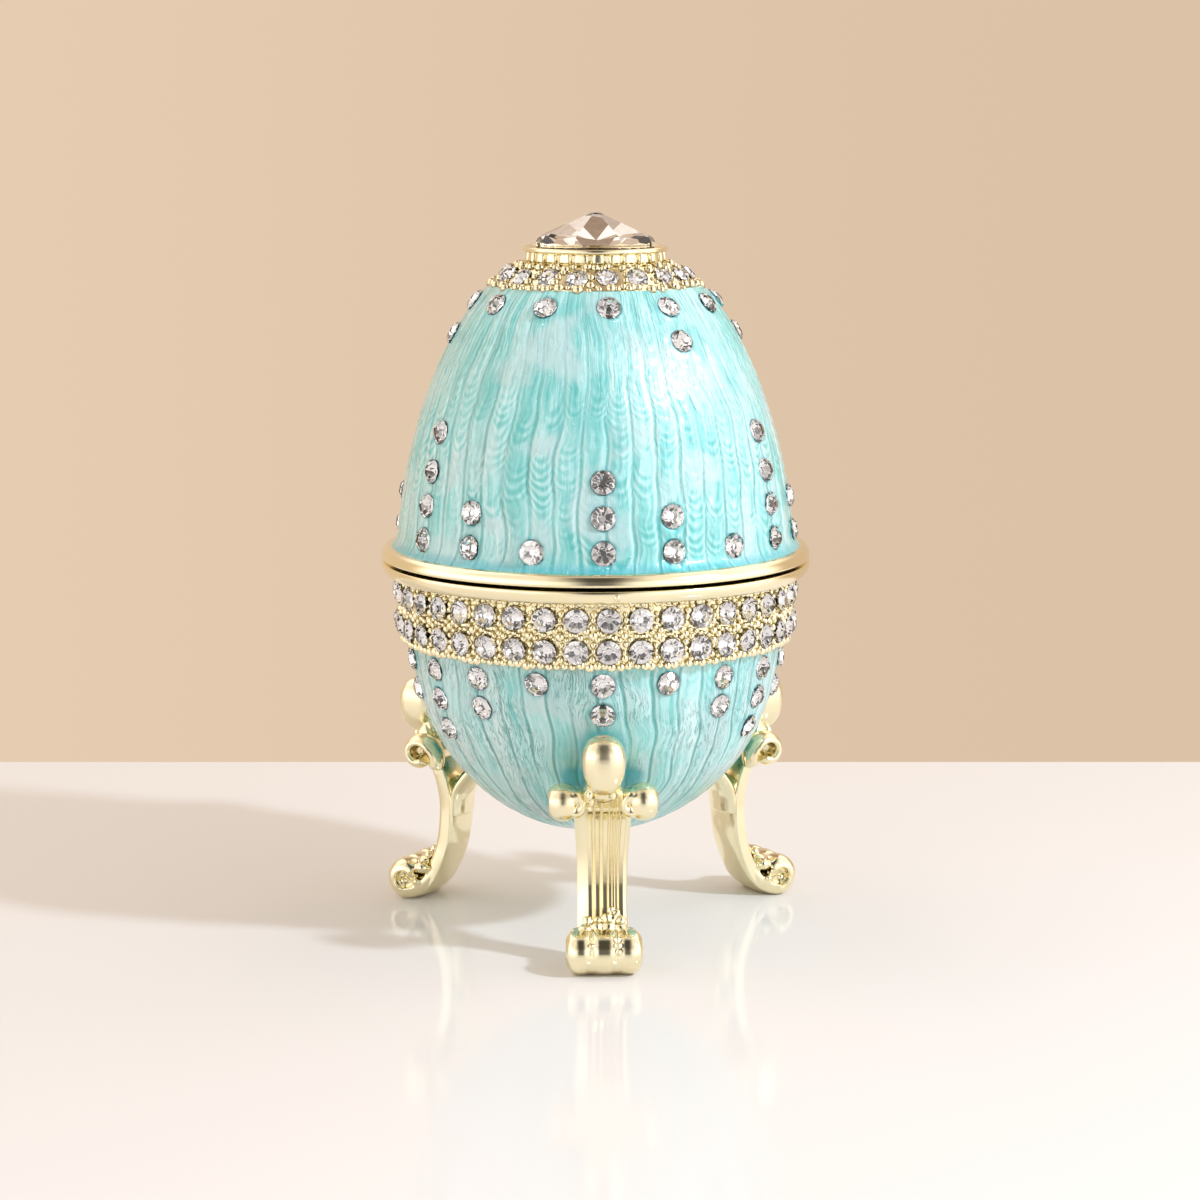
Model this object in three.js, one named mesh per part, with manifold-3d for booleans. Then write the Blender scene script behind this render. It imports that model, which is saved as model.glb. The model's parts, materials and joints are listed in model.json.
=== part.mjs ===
// Egg trinket box: an enamelled lid hinged on an enamelled base that stands on three scroll legs.
// Millimetres, +Z up, the table at z = 0, the egg's axis on Z and the front leg towards -Y.
import * as THREE from "three";
import { mergeVertices } from "three/addons/utils/BufferGeometryUtils.js";
import Module from "manifold-3d";

const wasm = await Module();
wasm.setup();

// Egg outline: radius * (1 - (distance / length) ^ shoulder) ^ (1 / crown), from the parting plane.
const PARTING_HEIGHT = 36.5;
const PARTING_GAP = 0.3;
const LID_RADIUS = 19.43;
const LID_LENGTH = 31.07;
const LID_SHOULDER = 1.66;
const LID_CROWN = 2.36;
const BASE_RADIUS = 18.53;
const BASE_LENGTH = 27.18;
const BASE_SHOULDER = 2.92;
const BASE_CROWN = 1.88;

// Walls, from the outside in: enamel, then the casting. The heavy base keeps the open box upright.
const ENAMEL_THICKNESS = 0.6;
const LID_WALL = 0.9;
const BASE_WALL = 2.4;
const SEAT_CLEARANCE = 0.2;

// Rims that meet at the parting plane, and the small flare of the lid's enamel above its rim.
const RIM_OVERHANG = 1.57;
const LID_RIM_HEIGHT = 1.2;
const BASE_RIM_HEIGHT = 1.3;
const LID_FLARE = 0.6;
const LID_FLARE_HEIGHT = 1;

// Band under the base rim, with one channel for each row of stones.
const BAND_DEPTH = 7.65;
const BAND_RISE = 0.8;
const BAND_ROW_DEPTHS = [3.15, 6.15];
const BAND_STONES = 40;
const BAND_STONE_RADIUS = 1.22;
const BAND_TABLE_RADIUS = 0.65;
const CHANNEL_DEPTH = 0.7;
const CHANNEL_CLEARANCE = 0.2;
const BACKING_THICKNESS = 0.3;
const SET_STONE_HEIGHT = 0.8;

// Crown, from the gem outwards: the bezel, its seat, and the collar that slopes down to the enamel.
const CROWN_LEDGE = 0.9;
const CROWN_PLATE = 1;
const COLLAR_WIDTH = 2.9;
const COLLAR_RISE = 1.95;
const COLLAR_LIP = 0.25;
const COLLAR_STONES = 18;
const COLLAR_STONE_RADIUS = 1.05;
const COLLAR_TABLE_RADIUS = 0.55;
const BEZEL_WALL = 0.6;
const BEZEL_FLARE = 0.55;
const BEZEL_HEIGHT = 1.5;
const BEZEL_LIP = 0.4;
const BEZEL_FLOOR = 0.4;
const GEM_RADIUS = 5.7;
const GEM_CLEARANCE = 0.2;
const GEM_SIDE_HEIGHT = 1.2;
const GEM_POINT_HEIGHT = 2.9;
const GEM_TIP_RADIUS = 0.5;
const GEM_SIDES = 10;

// Stones on the enamel: faceted crowns, those of one column joined by a thin strip on the enamel's skin.
const DROP_STONE_RADIUS = 1.2;
const DROP_TABLE_RADIUS = 0.65;
const DROP_STONE_HEIGHT = 0.7;
const STRIP_THICKNESS = 0.25;
const STRIP_WIDTH = 0.5;
const STONE_SIDES = 6;

// Rows of stones: distances from the parting plane, or below the collar, and how many each column takes.
const LID_ROW_RISES = [3.1, 6.35, 9.6, 13.25];
const LID_DROPS = [3, 2, 1, 4, 2, 1, 3, 2, 1, 4, 2, 1, 3, 2, 0, 4, 2, 1];
const SHOULDER_ROW_DROPS = [1.55, 4.65];
const SHOULDER_DROPS = [1, 2, 1, 2, 1, 2, 1, 2, 1, 2, 1, 1];
const SHOULDER_TURN = THREE.MathUtils.degToRad(4);
const BASE_ROW_DROPS = [9.5, 12.4, 15.4];
const BASE_DROPS = [2, 1, 2, 3, 2, 1, 2, 1, 2, 3, 2, 1, 2, 1, 2, 3, 2, 1];

// Hinge at the back: one knuckle on the lid between two on the base, on a plain pin.
const KNUCKLE_RADIUS = 1.2;
const KNUCKLE_CLEARANCE = 0.2;
const LID_KNUCKLE_LENGTH = 3.4;
const BASE_KNUCKLE_LENGTH = 2.6;
const KNUCKLE_END_GAP = 0.25;
const PIN_RADIUS = 0.5;
const PIN_CLEARANCE = 0.08;

// Closing magnets, in bosses inside the front of the lid and of the base.
const MAGNET_RADIUS = 1.5;
const MAGNET_THICKNESS = 1.5;
const MAGNET_CLEARANCE = 0.15;
const BOSS_WALL = 0.7;

// Legs: reach is measured out from the egg's skin at the height of the bud.
const LEG_GAP = 0.3;
const SOLE_FLAT = 0.25;
const STRAP_THICKNESS = 1.7;
const STRAP_WIDTH = 5.2;
const SHANK_REACH = -0.1;
const SHANK_HEIGHT = 9.7;
const ANKLE_REACH = 0.3;
const ANKLE_HEIGHT = 6;
const TOE_REACH = 4.35;
const TOE_RADIUS = 2.35;
const TOE_WIDTH = 7;
const TOE_LOBES = 3;
const TOE_GROOVE = 0.35;
const SCROLL_REACH = 1.65;
const SCROLL_DROP = 20.9;
const SCROLL_RADIUS = 2;
const SCROLL_WIDTH = 9.9;
const SCROLL_EYE_RADIUS = 0.9;
const SCROLL_EYE_DEPTH = 1.4;
const BUD_REACH = 3.95;
const BUD_DROP = 16.6;
const BUD_RADIUS = 1.95;
const BUD_HALF_HEIGHT = 2.7;
const BUD_FULLNESS = 0.18;
const NECK_RADIUS = 1.1;
const BRACKET_DROP = 21.8;
const BRACKET_THICKNESS = 1.5;
const BRACKET_WIDTH = 3.6;
const TENON_RADIUS = 0.7;

// Facets, and the step over which a curve's slope is taken.
const SLOPE_STEP = 0.05;
const EGG_FACETS = 36;
const ROUND_FACETS = 10;
const CURVE_STEPS = 7;
const HIDDEN_STEPS = 5;
const ARC_STEPS = 3;

// Heights and depths that follow from the sizes above.
const CASTING_DEPTH = ENAMEL_THICKNESS + SEAT_CLEARANCE;
const STRIP_LIFT = SEAT_CLEARANCE + STRIP_THICKNESS / 2;
const LID_MOUTH = PARTING_HEIGHT + PARTING_GAP / 2;
const LID_RIM_TOP = LID_MOUTH + LID_RIM_HEIGHT;
const RIM_RADIUS = LID_RADIUS + RIM_OVERHANG;
const BEZEL_BORE = GEM_RADIUS + GEM_CLEARANCE;
const BEZEL_FOOT_RADIUS = BEZEL_BORE + BEZEL_WALL;
const CROWN_SEAT_RADIUS = BEZEL_FOOT_RADIUS + CROWN_LEDGE;
const COLLAR_RADIUS = CROWN_SEAT_RADIUS + COLLAR_WIDTH;
const COLLAR_TURN_IN = 1 - Math.pow(COLLAR_RADIUS / LID_RADIUS, LID_CROWN);
const COLLAR_HEIGHT = PARTING_HEIGHT + LID_LENGTH * Math.pow(COLLAR_TURN_IN, 1 / LID_SHOULDER);
const CROWN_SEAT_HEIGHT = COLLAR_HEIGHT + COLLAR_RISE;
const LID_CEILING = CROWN_SEAT_HEIGHT - CROWN_PLATE;
const LID_INSIDE_RADIUS = LID_RADIUS - CASTING_DEPTH - LID_WALL;
const BASE_MOUTH = PARTING_HEIGHT - PARTING_GAP / 2;
const BASE_RIM_FOOT = BASE_MOUTH - BASE_RIM_HEIGHT;
const BASE_INSIDE_LENGTH = BASE_LENGTH - CASTING_DEPTH - BASE_WALL;
const BASE_INSIDE_RADIUS = BASE_RADIUS - CASTING_DEPTH - BASE_WALL;
const MAGNET_REACH = Math.min(LID_INSIDE_RADIUS, BASE_INSIDE_RADIUS) - MAGNET_RADIUS - MAGNET_CLEARANCE;
const BAND_FOOT = PARTING_HEIGHT - BAND_DEPTH;
const BUD_HEIGHT = PARTING_HEIGHT - BUD_DROP;
const HINGE_Y = RIM_RADIUS + KNUCKLE_CLEARANCE + KNUCKLE_RADIUS;
const FULL_TURN = 2 * Math.PI;

const egg = new THREE.Group();

// Materials of the finished pieces.
const gilt = () => new THREE.MeshStandardMaterial({ color: 0xd8bb8e, roughness: 0.22, metalness: 1 });
const enamel = () => new THREE.MeshStandardMaterial({ color: 0x8fdcd8, roughness: 0.12, metalness: 0 });
const crystal = () => new THREE.MeshStandardMaterial({ color: 0xe4ebec, roughness: 0.05, metalness: 0 });
const warmCrystal = () => new THREE.MeshStandardMaterial({ color: 0xf1ecdc, roughness: 0.04, metalness: 0 });
const magnetAlloy = () => new THREE.MeshStandardMaterial({ color: 0x8b8e92, roughness: 0.35, metalness: 1 });

// Closed geometry to a solid that can be joined and cut, and back.
function solid(geometry) {
  geometry.deleteAttribute("normal");
  geometry.deleteAttribute("uv");
  const merged = mergeVertices(geometry, 1e-4);
  const vertProperties = merged.attributes.position.array;
  const triVerts = new Uint32Array(merged.index.array);
  return new wasm.Manifold(new wasm.Mesh({ numProp: 3, vertProperties, triVerts }));
}

function addPiece(name, body, material) {
  const { vertProperties, triVerts } = body.getMesh();
  const geometry = new THREE.BufferGeometry();
  geometry.setAttribute("position", new THREE.BufferAttribute(vertProperties, 3));
  geometry.setIndex(new THREE.BufferAttribute(triVerts, 1));
  geometry.computeVertexNormals();
  const mesh = new THREE.Mesh(geometry, material);
  mesh.name = name;
  egg.add(mesh);
  return mesh;
}

const join = (bodies) => bodies.reduce((whole, body) => whole.add(body));

// A body of revolution about Z from a profile of [radius, height] points, its first facet edge at turn.
function turned(profile, facets, turn = 0) {
  const points = profile.map(([radius, height]) => new THREE.Vector2(radius, height));
  if (THREE.ShapeUtils.isClockWise(points)) points.reverse();
  return new THREE.LatheGeometry(points, facets, turn).rotateX(Math.PI / 2);
}

// A profile that doesn't touch the axis closes on itself.
const turnedRing = (profile, facets, turn) => turned([...profile, profile[0]], facets, turn);

// A flat outline of [reach, height] points, given a width across the plane that holds the egg's axis.
function sidePlate(outline, width, azimuth = 0) {
  const shape = new THREE.Shape(outline.map(([reach, height]) => new THREE.Vector2(reach, height)));
  const plate = new THREE.ExtrudeGeometry(shape, { depth: width, bevelEnabled: false, curveSegments: 1 });
  plate.translate(0, 0, -width / 2);
  return plate.applyMatrix4(radialFrame(azimuth));
}

// Local x runs out from the axis, local y up, local z across.
function radialFrame(azimuth) {
  const out = new THREE.Vector3(Math.sin(azimuth), -Math.cos(azimuth), 0);
  const up = new THREE.Vector3(0, 0, 1);
  return new THREE.Matrix4().makeBasis(out, up, new THREE.Vector3().crossVectors(out, up));
}

// Moves a body turned about Z so that its axis points along the normal at a place on the egg.
function onSkin(geometry, [radius, height], [outward, upward], azimuth) {
  const normal = new THREE.Vector3(outward * Math.sin(azimuth), -outward * Math.cos(azimuth), upward);
  const turn = new THREE.Quaternion().setFromUnitVectors(new THREE.Vector3(0, 0, 1), normal.normalize());
  const place = new THREE.Vector3(radius * Math.sin(azimuth), -radius * Math.cos(azimuth), height);
  return geometry.applyMatrix4(new THREE.Matrix4().compose(place, turn, new THREE.Vector3(1, 1, 1)));
}

// Egg curves. Depth goes inwards from the outer skin.
const curve = (radius, length, shoulder, crown, distance) =>
  radius * Math.pow(Math.max(0, 1 - Math.pow(distance / length, shoulder)), 1 / crown);
const lidRadius = (height, depth = 0) =>
  curve(LID_RADIUS - depth, LID_LENGTH - depth, LID_SHOULDER, LID_CROWN, height - PARTING_HEIGHT);
const lidInsideRadius = (height) => lidRadius(height, CASTING_DEPTH + LID_WALL);
const baseRadius = (height, depth = 0) =>
  curve(BASE_RADIUS - depth, BASE_LENGTH - depth, BASE_SHOULDER, BASE_CROWN, PARTING_HEIGHT - height);
const baseInsideRadius = (height) => baseRadius(height, CASTING_DEPTH + BASE_WALL);

// Points along an egg curve, closer together towards the far end, where it turns in.
function along(radiusAt, from, to, steps) {
  const points = [];
  for (let step = 0; step <= steps; step++) {
    const height = from + (to - from) * Math.sin((step / steps) * (Math.PI / 2));
    points.push([radiusAt(height), height]);
  }
  return points;
}

// The outward normal, as [outward, upward], of an egg curve at a height.
function normalAt(radiusAt, height) {
  const slope = (radiusAt(height + SLOPE_STEP) - radiusAt(height - SLOPE_STEP)) / (2 * SLOPE_STEP);
  const length = Math.hypot(1, slope);
  return [1 / length, -slope / length];
}

// Half-round outside of a rim, from its lower to its upper edge.
function rimEdge(low, high) {
  const round = (high - low) / 2;
  const points = [];
  for (let step = 0; step <= ARC_STEPS; step++) {
    const angle = Math.PI * (step / ARC_STEPS - 0.5);
    points.push([RIM_RADIUS - round + round * Math.cos(angle), low + round + round * Math.sin(angle)]);
  }
  return points;
}

// A stone's crown about Z, standing on z = 0 and sunk by root into what it stands on.
function stoneCrown(radius, tableRadius, height, root = 0) {
  const profile = [
    [0, -root],
    [radius, -root],
    [tableRadius, height],
    [0, height],
  ];
  return turned(profile, STONE_SIDES);
}

// The point over an egg curve at a height, lifted along the normal.
function lifted(radiusAt, height, lift) {
  const normal = normalAt(radiusAt, height);
  return [radiusAt(height) + lift * normal[0], height + lift * normal[1]];
}

// A column of stones on an egg curve. A strip joins them, and runs on to an anchor height if one is given.
function stoneColumn(radiusAt, heights, azimuth, anchors = []) {
  const bodies = heights.map((height) => {
    const stone = stoneCrown(DROP_STONE_RADIUS, DROP_TABLE_RADIUS, DROP_STONE_HEIGHT);
    const foot = lifted(radiusAt, height, SEAT_CLEARANCE);
    return solid(onSkin(stone, foot, normalAt(radiusAt, height), azimuth));
  });
  const stops = [...anchors, ...heights];
  if (stops.length > 1) {
    const inner = stops.map((height) => lifted(radiusAt, height, STRIP_LIFT));
    const outer = stops.map((height) => lifted(radiusAt, height, STRIP_LIFT + STRIP_THICKNESS));
    bodies.push(solid(sidePlate([...inner, ...outer.reverse()], STRIP_WIDTH, azimuth)));
  }
  return join(bodies);
}

// Crowned stones standing on a backing ring that lies in a channel of the casting.
function stoneRing({ ring, floor }, normal, radius, tableRadius, count) {
  const halfStep = Math.PI / count;
  const bodies = [solid(turnedRing(ring, count, -halfStep))];
  for (let index = 0; index < count; index++) {
    const stone = stoneCrown(radius, tableRadius, SET_STONE_HEIGHT, BACKING_THICKNESS / 2);
    const seat = [floor[0] * Math.cos(halfStep), floor[1]];
    bodies.push(solid(onSkin(stone, seat, normal, 2 * halfStep * index)));
  }
  return join(bodies);
}

// A flat-bottomed channel across a profile: its four corners, and the ring that lies in it.
function channel([radius, height], [outward, upward], stoneRadius) {
  const at = (across, depth) => [
    radius - across * upward - depth * outward,
    height + across * outward - depth * upward,
  ];
  const half = stoneRadius + CHANNEL_CLEARANCE;
  const low = CHANNEL_DEPTH - CHANNEL_CLEARANCE;
  const high = low - BACKING_THICKNESS;
  const ringHalf = stoneRadius;
  return {
    corners: [at(-half, 0), at(-half, CHANNEL_DEPTH), at(half, CHANNEL_DEPTH), at(half, 0)],
    ring: [at(-ringHalf, low), at(ringHalf, low), at(ringHalf, high), at(-ringHalf, high)],
    floor: at(0, high),
  };
}

// A round bar along X.
const bar = (radius, length) =>
  new THREE.CylinderGeometry(radius, radius, length, ROUND_FACETS).rotateZ(Math.PI / 2);

// One knuckle of the hinge with the web that ties it to a rim.
function knuckle(centre, length, webLow, webHigh) {
  const barrel = solid(bar(KNUCKLE_RADIUS, length).translate(centre, HINGE_Y, PARTING_HEIGHT));
  const webDepth = HINGE_Y - (RIM_RADIUS - KNUCKLE_RADIUS);
  const web = new THREE.BoxGeometry(length, webDepth, webHigh - webLow);
  web.translate(centre, HINGE_Y - webDepth / 2, (webLow + webHigh) / 2);
  return barrel.add(solid(web));
}

const pinHole = () => {
  const length = LID_KNUCKLE_LENGTH + 2 * (BASE_KNUCKLE_LENGTH + KNUCKLE_END_GAP);
  const hole = bar(PIN_RADIUS + PIN_CLEARANCE, 2 * length);
  return solid(hole.translate(0, HINGE_Y, PARTING_HEIGHT));
};

// A boss that runs in from the front wall and holds a magnet flush with the mouth, the magnet and its pocket.
function magnetBoss(insideRadius, mouth, inward) {
  const bossRadius = MAGNET_RADIUS + MAGNET_CLEARANCE + BOSS_WALL;
  const bossHeight = MAGNET_THICKNESS + MAGNET_CLEARANCE + BOSS_WALL;
  const disc = (radius, height) => {
    const cylinder = new THREE.CylinderGeometry(radius, radius, height, ROUND_FACETS).rotateX(Math.PI / 2);
    return solid(cylinder.translate(0, -MAGNET_REACH, mouth + (inward * height) / 2));
  };
  const web = new THREE.BoxGeometry(2 * bossRadius, insideRadius - MAGNET_REACH, bossHeight);
  web.translate(0, -(insideRadius + MAGNET_REACH) / 2, mouth + (inward * bossHeight) / 2);
  const pocket = disc(MAGNET_RADIUS + MAGNET_CLEARANCE, MAGNET_THICKNESS + MAGNET_CLEARANCE);
  const mouthCut = new THREE.BoxGeometry(4 * bossRadius, 4 * bossRadius, PARTING_GAP);
  mouthCut.translate(0, -MAGNET_REACH, mouth - (inward * PARTING_GAP) / 2);
  return {
    boss: disc(bossRadius, bossHeight).add(solid(web)),
    pocket: pocket.add(solid(mouthCut)),
    magnet: disc(MAGNET_RADIUS, MAGNET_THICKNESS),
  };
}

// Lid: the gilt shell from the inside of its crown, down round the rim and up to the collar.
const lidMagnet = magnetBoss(LID_INSIDE_RADIUS, LID_MOUTH, 1);
const collarFoot = [COLLAR_RADIUS + COLLAR_LIP, COLLAR_HEIGHT];
const collarRun = [CROWN_SEAT_RADIUS - collarFoot[0], CROWN_SEAT_HEIGHT - collarFoot[1]];
const collarLength = Math.hypot(...collarRun);
const collarNormal = [collarRun[1] / collarLength, -collarRun[0] / collarLength];
const collarMiddle = [collarFoot[0] + collarRun[0] / 2, collarFoot[1] + collarRun[1] / 2];
const collarChannel = channel(collarMiddle, collarNormal, COLLAR_STONE_RADIUS);
const lidShell = [
  [0, LID_CEILING],
  ...along(lidInsideRadius, LID_MOUTH, LID_CEILING, HIDDEN_STEPS).reverse(),
  ...rimEdge(LID_MOUTH, LID_RIM_TOP),
  ...along((height) => lidRadius(height, CASTING_DEPTH), LID_RIM_TOP, COLLAR_HEIGHT, HIDDEN_STEPS),
  collarFoot,
  ...collarChannel.corners,
  [CROWN_SEAT_RADIUS, CROWN_SEAT_HEIGHT],
  [0, CROWN_SEAT_HEIGHT],
];
const lidCasting = solid(turned(lidShell, EGG_FACETS))
  .add(knuckle(0, LID_KNUCKLE_LENGTH, LID_MOUTH, LID_RIM_TOP))
  .add(lidMagnet.boss)
  .subtract(lidMagnet.pocket)
  .subtract(pinHole());
addPiece("lid_casting", lidCasting, gilt());
addPiece("lid_magnet", lidMagnet.magnet, magnetAlloy());

// Lid stones: columns that rise from the rim, and a garland that hangs from a fine ring under the collar.
LID_DROPS.forEach((count, index) => {
  if (count === 0) return;
  const heights = LID_ROW_RISES.slice(0, count).map((rise) => PARTING_HEIGHT + rise);
  const column = stoneColumn(lidRadius, heights, (FULL_TURN * index) / LID_DROPS.length);
  addPiece("lid_drop_" + String(index + 1).padStart(2, "0"), column, crystal());
});
const garlandRingHeight = COLLAR_HEIGHT - SEAT_CLEARANCE - STRIP_WIDTH;
const garlandSection = [-STRIP_WIDTH / 2, STRIP_WIDTH / 2].flatMap((rise, edge) => {
  const lifts = [STRIP_LIFT, STRIP_LIFT + STRIP_THICKNESS];
  if (edge === 1) lifts.reverse();
  return lifts.map((lift) => lifted(lidRadius, garlandRingHeight + rise, lift));
});
const garland = SHOULDER_DROPS.map((count, index) => {
  const azimuth = SHOULDER_TURN + (FULL_TURN * index) / SHOULDER_DROPS.length;
  const heights = SHOULDER_ROW_DROPS.slice(0, count).map((drop) => COLLAR_HEIGHT - drop);
  return stoneColumn(lidRadius, heights, azimuth, [garlandRingHeight]);
});
garland.push(solid(turnedRing(garlandSection, EGG_FACETS, SHOULDER_TURN)));
addPiece("lid_shoulder_stones", join(garland), crystal());

// Lid enamel, from just above the rim to just below the collar.
const lidEnamelFoot = LID_RIM_TOP + SEAT_CLEARANCE;
const lidEnamelTop = COLLAR_HEIGHT - SEAT_CLEARANCE;
const lidEnamel = [
  [lidRadius(lidEnamelFoot, ENAMEL_THICKNESS), lidEnamelFoot],
  [lidRadius(lidEnamelFoot) + LID_FLARE, lidEnamelFoot],
  ...along(lidRadius, lidEnamelFoot + LID_FLARE_HEIGHT, lidEnamelTop, CURVE_STEPS),
  ...along((height) => lidRadius(height, ENAMEL_THICKNESS), lidEnamelFoot, lidEnamelTop, CURVE_STEPS)
    .slice(1)
    .reverse(),
];
addPiece("lid_enamel", solid(turnedRing(lidEnamel, EGG_FACETS)), enamel());

// Crown: ring of stones in the collar, then the bezel cup and the pointed gem.
const collarStones = stoneRing(
  collarChannel,
  collarNormal,
  COLLAR_STONE_RADIUS,
  COLLAR_TABLE_RADIUS,
  COLLAR_STONES,
);
addPiece("collar_stones", collarStones, crystal());
const bezelFoot = CROWN_SEAT_HEIGHT + SEAT_CLEARANCE;
const bezelTop = bezelFoot + BEZEL_HEIGHT;
const bezelLipRadius = BEZEL_FOOT_RADIUS + BEZEL_FLARE;
const bezel = [
  [0, bezelFoot],
  [BEZEL_FOOT_RADIUS, bezelFoot],
  [bezelLipRadius, bezelTop - BEZEL_LIP],
  [bezelLipRadius, bezelTop],
  [BEZEL_BORE, bezelTop],
  [BEZEL_BORE, bezelFoot + BEZEL_FLOOR],
  [0, bezelFoot + BEZEL_FLOOR],
];
addPiece("crown_bezel", solid(turned(bezel, EGG_FACETS)), gilt());
const gemFoot = bezelFoot + BEZEL_FLOOR + SEAT_CLEARANCE;
const gem = [
  [0, gemFoot],
  [GEM_RADIUS, gemFoot],
  [GEM_RADIUS, gemFoot + GEM_SIDE_HEIGHT],
  [GEM_TIP_RADIUS, gemFoot + GEM_SIDE_HEIGHT + GEM_POINT_HEIGHT],
  [0, gemFoot + GEM_SIDE_HEIGHT + GEM_POINT_HEIGHT],
];
addPiece("crown_gem", solid(turned(gem, GEM_SIDES)), warmCrystal());

// Base: the gilt bowl from the inside of its bottom, up over the rim and down past the band.
const baseMagnet = magnetBoss(BASE_INSIDE_RADIUS, BASE_MOUTH, -1);
const bandRadius = (height) => baseRadius(height) + BAND_RISE;
const bandChannels = BAND_ROW_DEPTHS.map((depth) => {
  const height = PARTING_HEIGHT - depth;
  return channel([bandRadius(height), height], [1, 0], BAND_STONE_RADIUS);
});
const baseShell = [
  ...along(baseInsideRadius, BASE_MOUTH, PARTING_HEIGHT - BASE_INSIDE_LENGTH, HIDDEN_STEPS).reverse(),
  ...rimEdge(BASE_RIM_FOOT, BASE_MOUTH).reverse(),
  [bandRadius(BASE_RIM_FOOT), BASE_RIM_FOOT],
  ...bandChannels.flatMap((cut) => [...cut.corners].reverse()),
  [bandRadius(BAND_FOOT), BAND_FOOT],
  ...along(
    (height) => baseRadius(height, CASTING_DEPTH),
    BAND_FOOT,
    PARTING_HEIGHT - BASE_LENGTH + CASTING_DEPTH,
    HIDDEN_STEPS,
  ),
];
const baseKnuckleCentre = (LID_KNUCKLE_LENGTH + BASE_KNUCKLE_LENGTH) / 2 + KNUCKLE_END_GAP;
const baseCasting = solid(turned(baseShell, EGG_FACETS))
  .add(knuckle(-baseKnuckleCentre, BASE_KNUCKLE_LENGTH, BASE_RIM_FOOT, BASE_MOUTH))
  .add(knuckle(baseKnuckleCentre, BASE_KNUCKLE_LENGTH, BASE_RIM_FOOT, BASE_MOUTH))
  .add(baseMagnet.boss)
  .subtract(baseMagnet.pocket)
  .subtract(pinHole());
addPiece("base_casting", baseCasting, gilt());
addPiece("base_magnet", baseMagnet.magnet, magnetAlloy());
const pinLength = 2 * (baseKnuckleCentre + BASE_KNUCKLE_LENGTH / 2);
addPiece("hinge_pin", solid(bar(PIN_RADIUS, pinLength).translate(0, HINGE_Y, PARTING_HEIGHT)), gilt());

// Band stones: one ring of stones in each channel.
["band_upper_stones", "band_lower_stones"].forEach((name, row) => {
  const stones = stoneRing(bandChannels[row], [1, 0], BAND_STONE_RADIUS, BAND_TABLE_RADIUS, BAND_STONES);
  addPiece(name, stones, crystal());
});

// Base stones: columns that hang below the band.
BASE_DROPS.forEach((count, index) => {
  const heights = BASE_ROW_DROPS.slice(0, count).map((drop) => PARTING_HEIGHT - drop);
  const column = stoneColumn(baseRadius, heights, (FULL_TURN * index) / BASE_DROPS.length);
  addPiece("base_drop_" + String(index + 1).padStart(2, "0"), column, crystal());
});

// Legs. A ribbon is a line of [reach, height] points given a thickness in its own plane.
function ribbon(points, thickness, steps) {
  const line = new THREE.SplineCurve(points.map(([reach, height]) => new THREE.Vector2(reach, height)));
  const left = [];
  const right = [];
  for (let step = 0; step <= steps; step++) {
    const point = line.getPoint(step / steps);
    const tangent = line.getTangent(step / steps);
    const side = [(-tangent.y * thickness) / 2, (tangent.x * thickness) / 2];
    left.push([point.x + side[0], point.y + side[1]]);
    right.push([point.x - side[0], point.y - side[1]]);
  }
  return [...left, ...right.reverse()];
}

// A roll lies across the leg, with its axis along X.
function roll(profile, reach, height) {
  const body = turned(profile, ROUND_FACETS).rotateY(Math.PI / 2);
  return solid(body.translate(0, -reach, height));
}

// Lobes of the toe: shallow grooves between full rounds, closing to the axis at both ends.
function toeProfile() {
  const lobe = TOE_WIDTH / TOE_LOBES;
  const points = [[0, -TOE_WIDTH / 2]];
  for (let index = 0; index < TOE_LOBES; index++) {
    const start = -TOE_WIDTH / 2 + index * lobe;
    const edge = index === 0 ? TOE_RADIUS - 2 * TOE_GROOVE : TOE_RADIUS - TOE_GROOVE;
    points.push([edge, start]);
    points.push([TOE_RADIUS, start + lobe / 2]);
  }
  points.push([TOE_RADIUS - 2 * TOE_GROOVE, TOE_WIDTH / 2]);
  points.push([0, TOE_WIDTH / 2]);
  return points;
}

// Scroll: a roll with a hollow eye at each end.
function scrollProfile() {
  const end = SCROLL_WIDTH / 2;
  const shoulder = SCROLL_RADIUS - SCROLL_EYE_RADIUS;
  return [
    [0, -end + SCROLL_EYE_DEPTH],
    [SCROLL_EYE_RADIUS, -end],
    [SCROLL_RADIUS, -end + shoulder / 2],
    [SCROLL_RADIUS, end - shoulder / 2],
    [SCROLL_EYE_RADIUS, end],
    [0, end - SCROLL_EYE_DEPTH],
  ];
}

// Bud: fuller above its middle than below.
function budProfile() {
  const points = [];
  for (let step = 0; step <= HIDDEN_STEPS; step++) {
    const angle = Math.PI * (step / HIDDEN_STEPS - 0.5);
    const fullness = 1 + BUD_FULLNESS * Math.sin(angle);
    points.push([BUD_RADIUS * Math.max(0, Math.cos(angle)) * fullness, BUD_HALF_HEIGHT * Math.sin(angle)]);
  }
  return points;
}

const legRoot = baseRadius(BUD_HEIGHT);
const toeHeight = TOE_RADIUS - SOLE_FLAT;
const scrollHeight = PARTING_HEIGHT - SCROLL_DROP;
const bracketHeight = PARTING_HEIGHT - BRACKET_DROP;
const bracketNormal = normalAt(baseRadius, bracketHeight);
const shank = [legRoot + SHANK_REACH, SHANK_HEIGHT];
const strapFoot = STRAP_THICKNESS / 2 - SOLE_FLAT;

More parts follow.
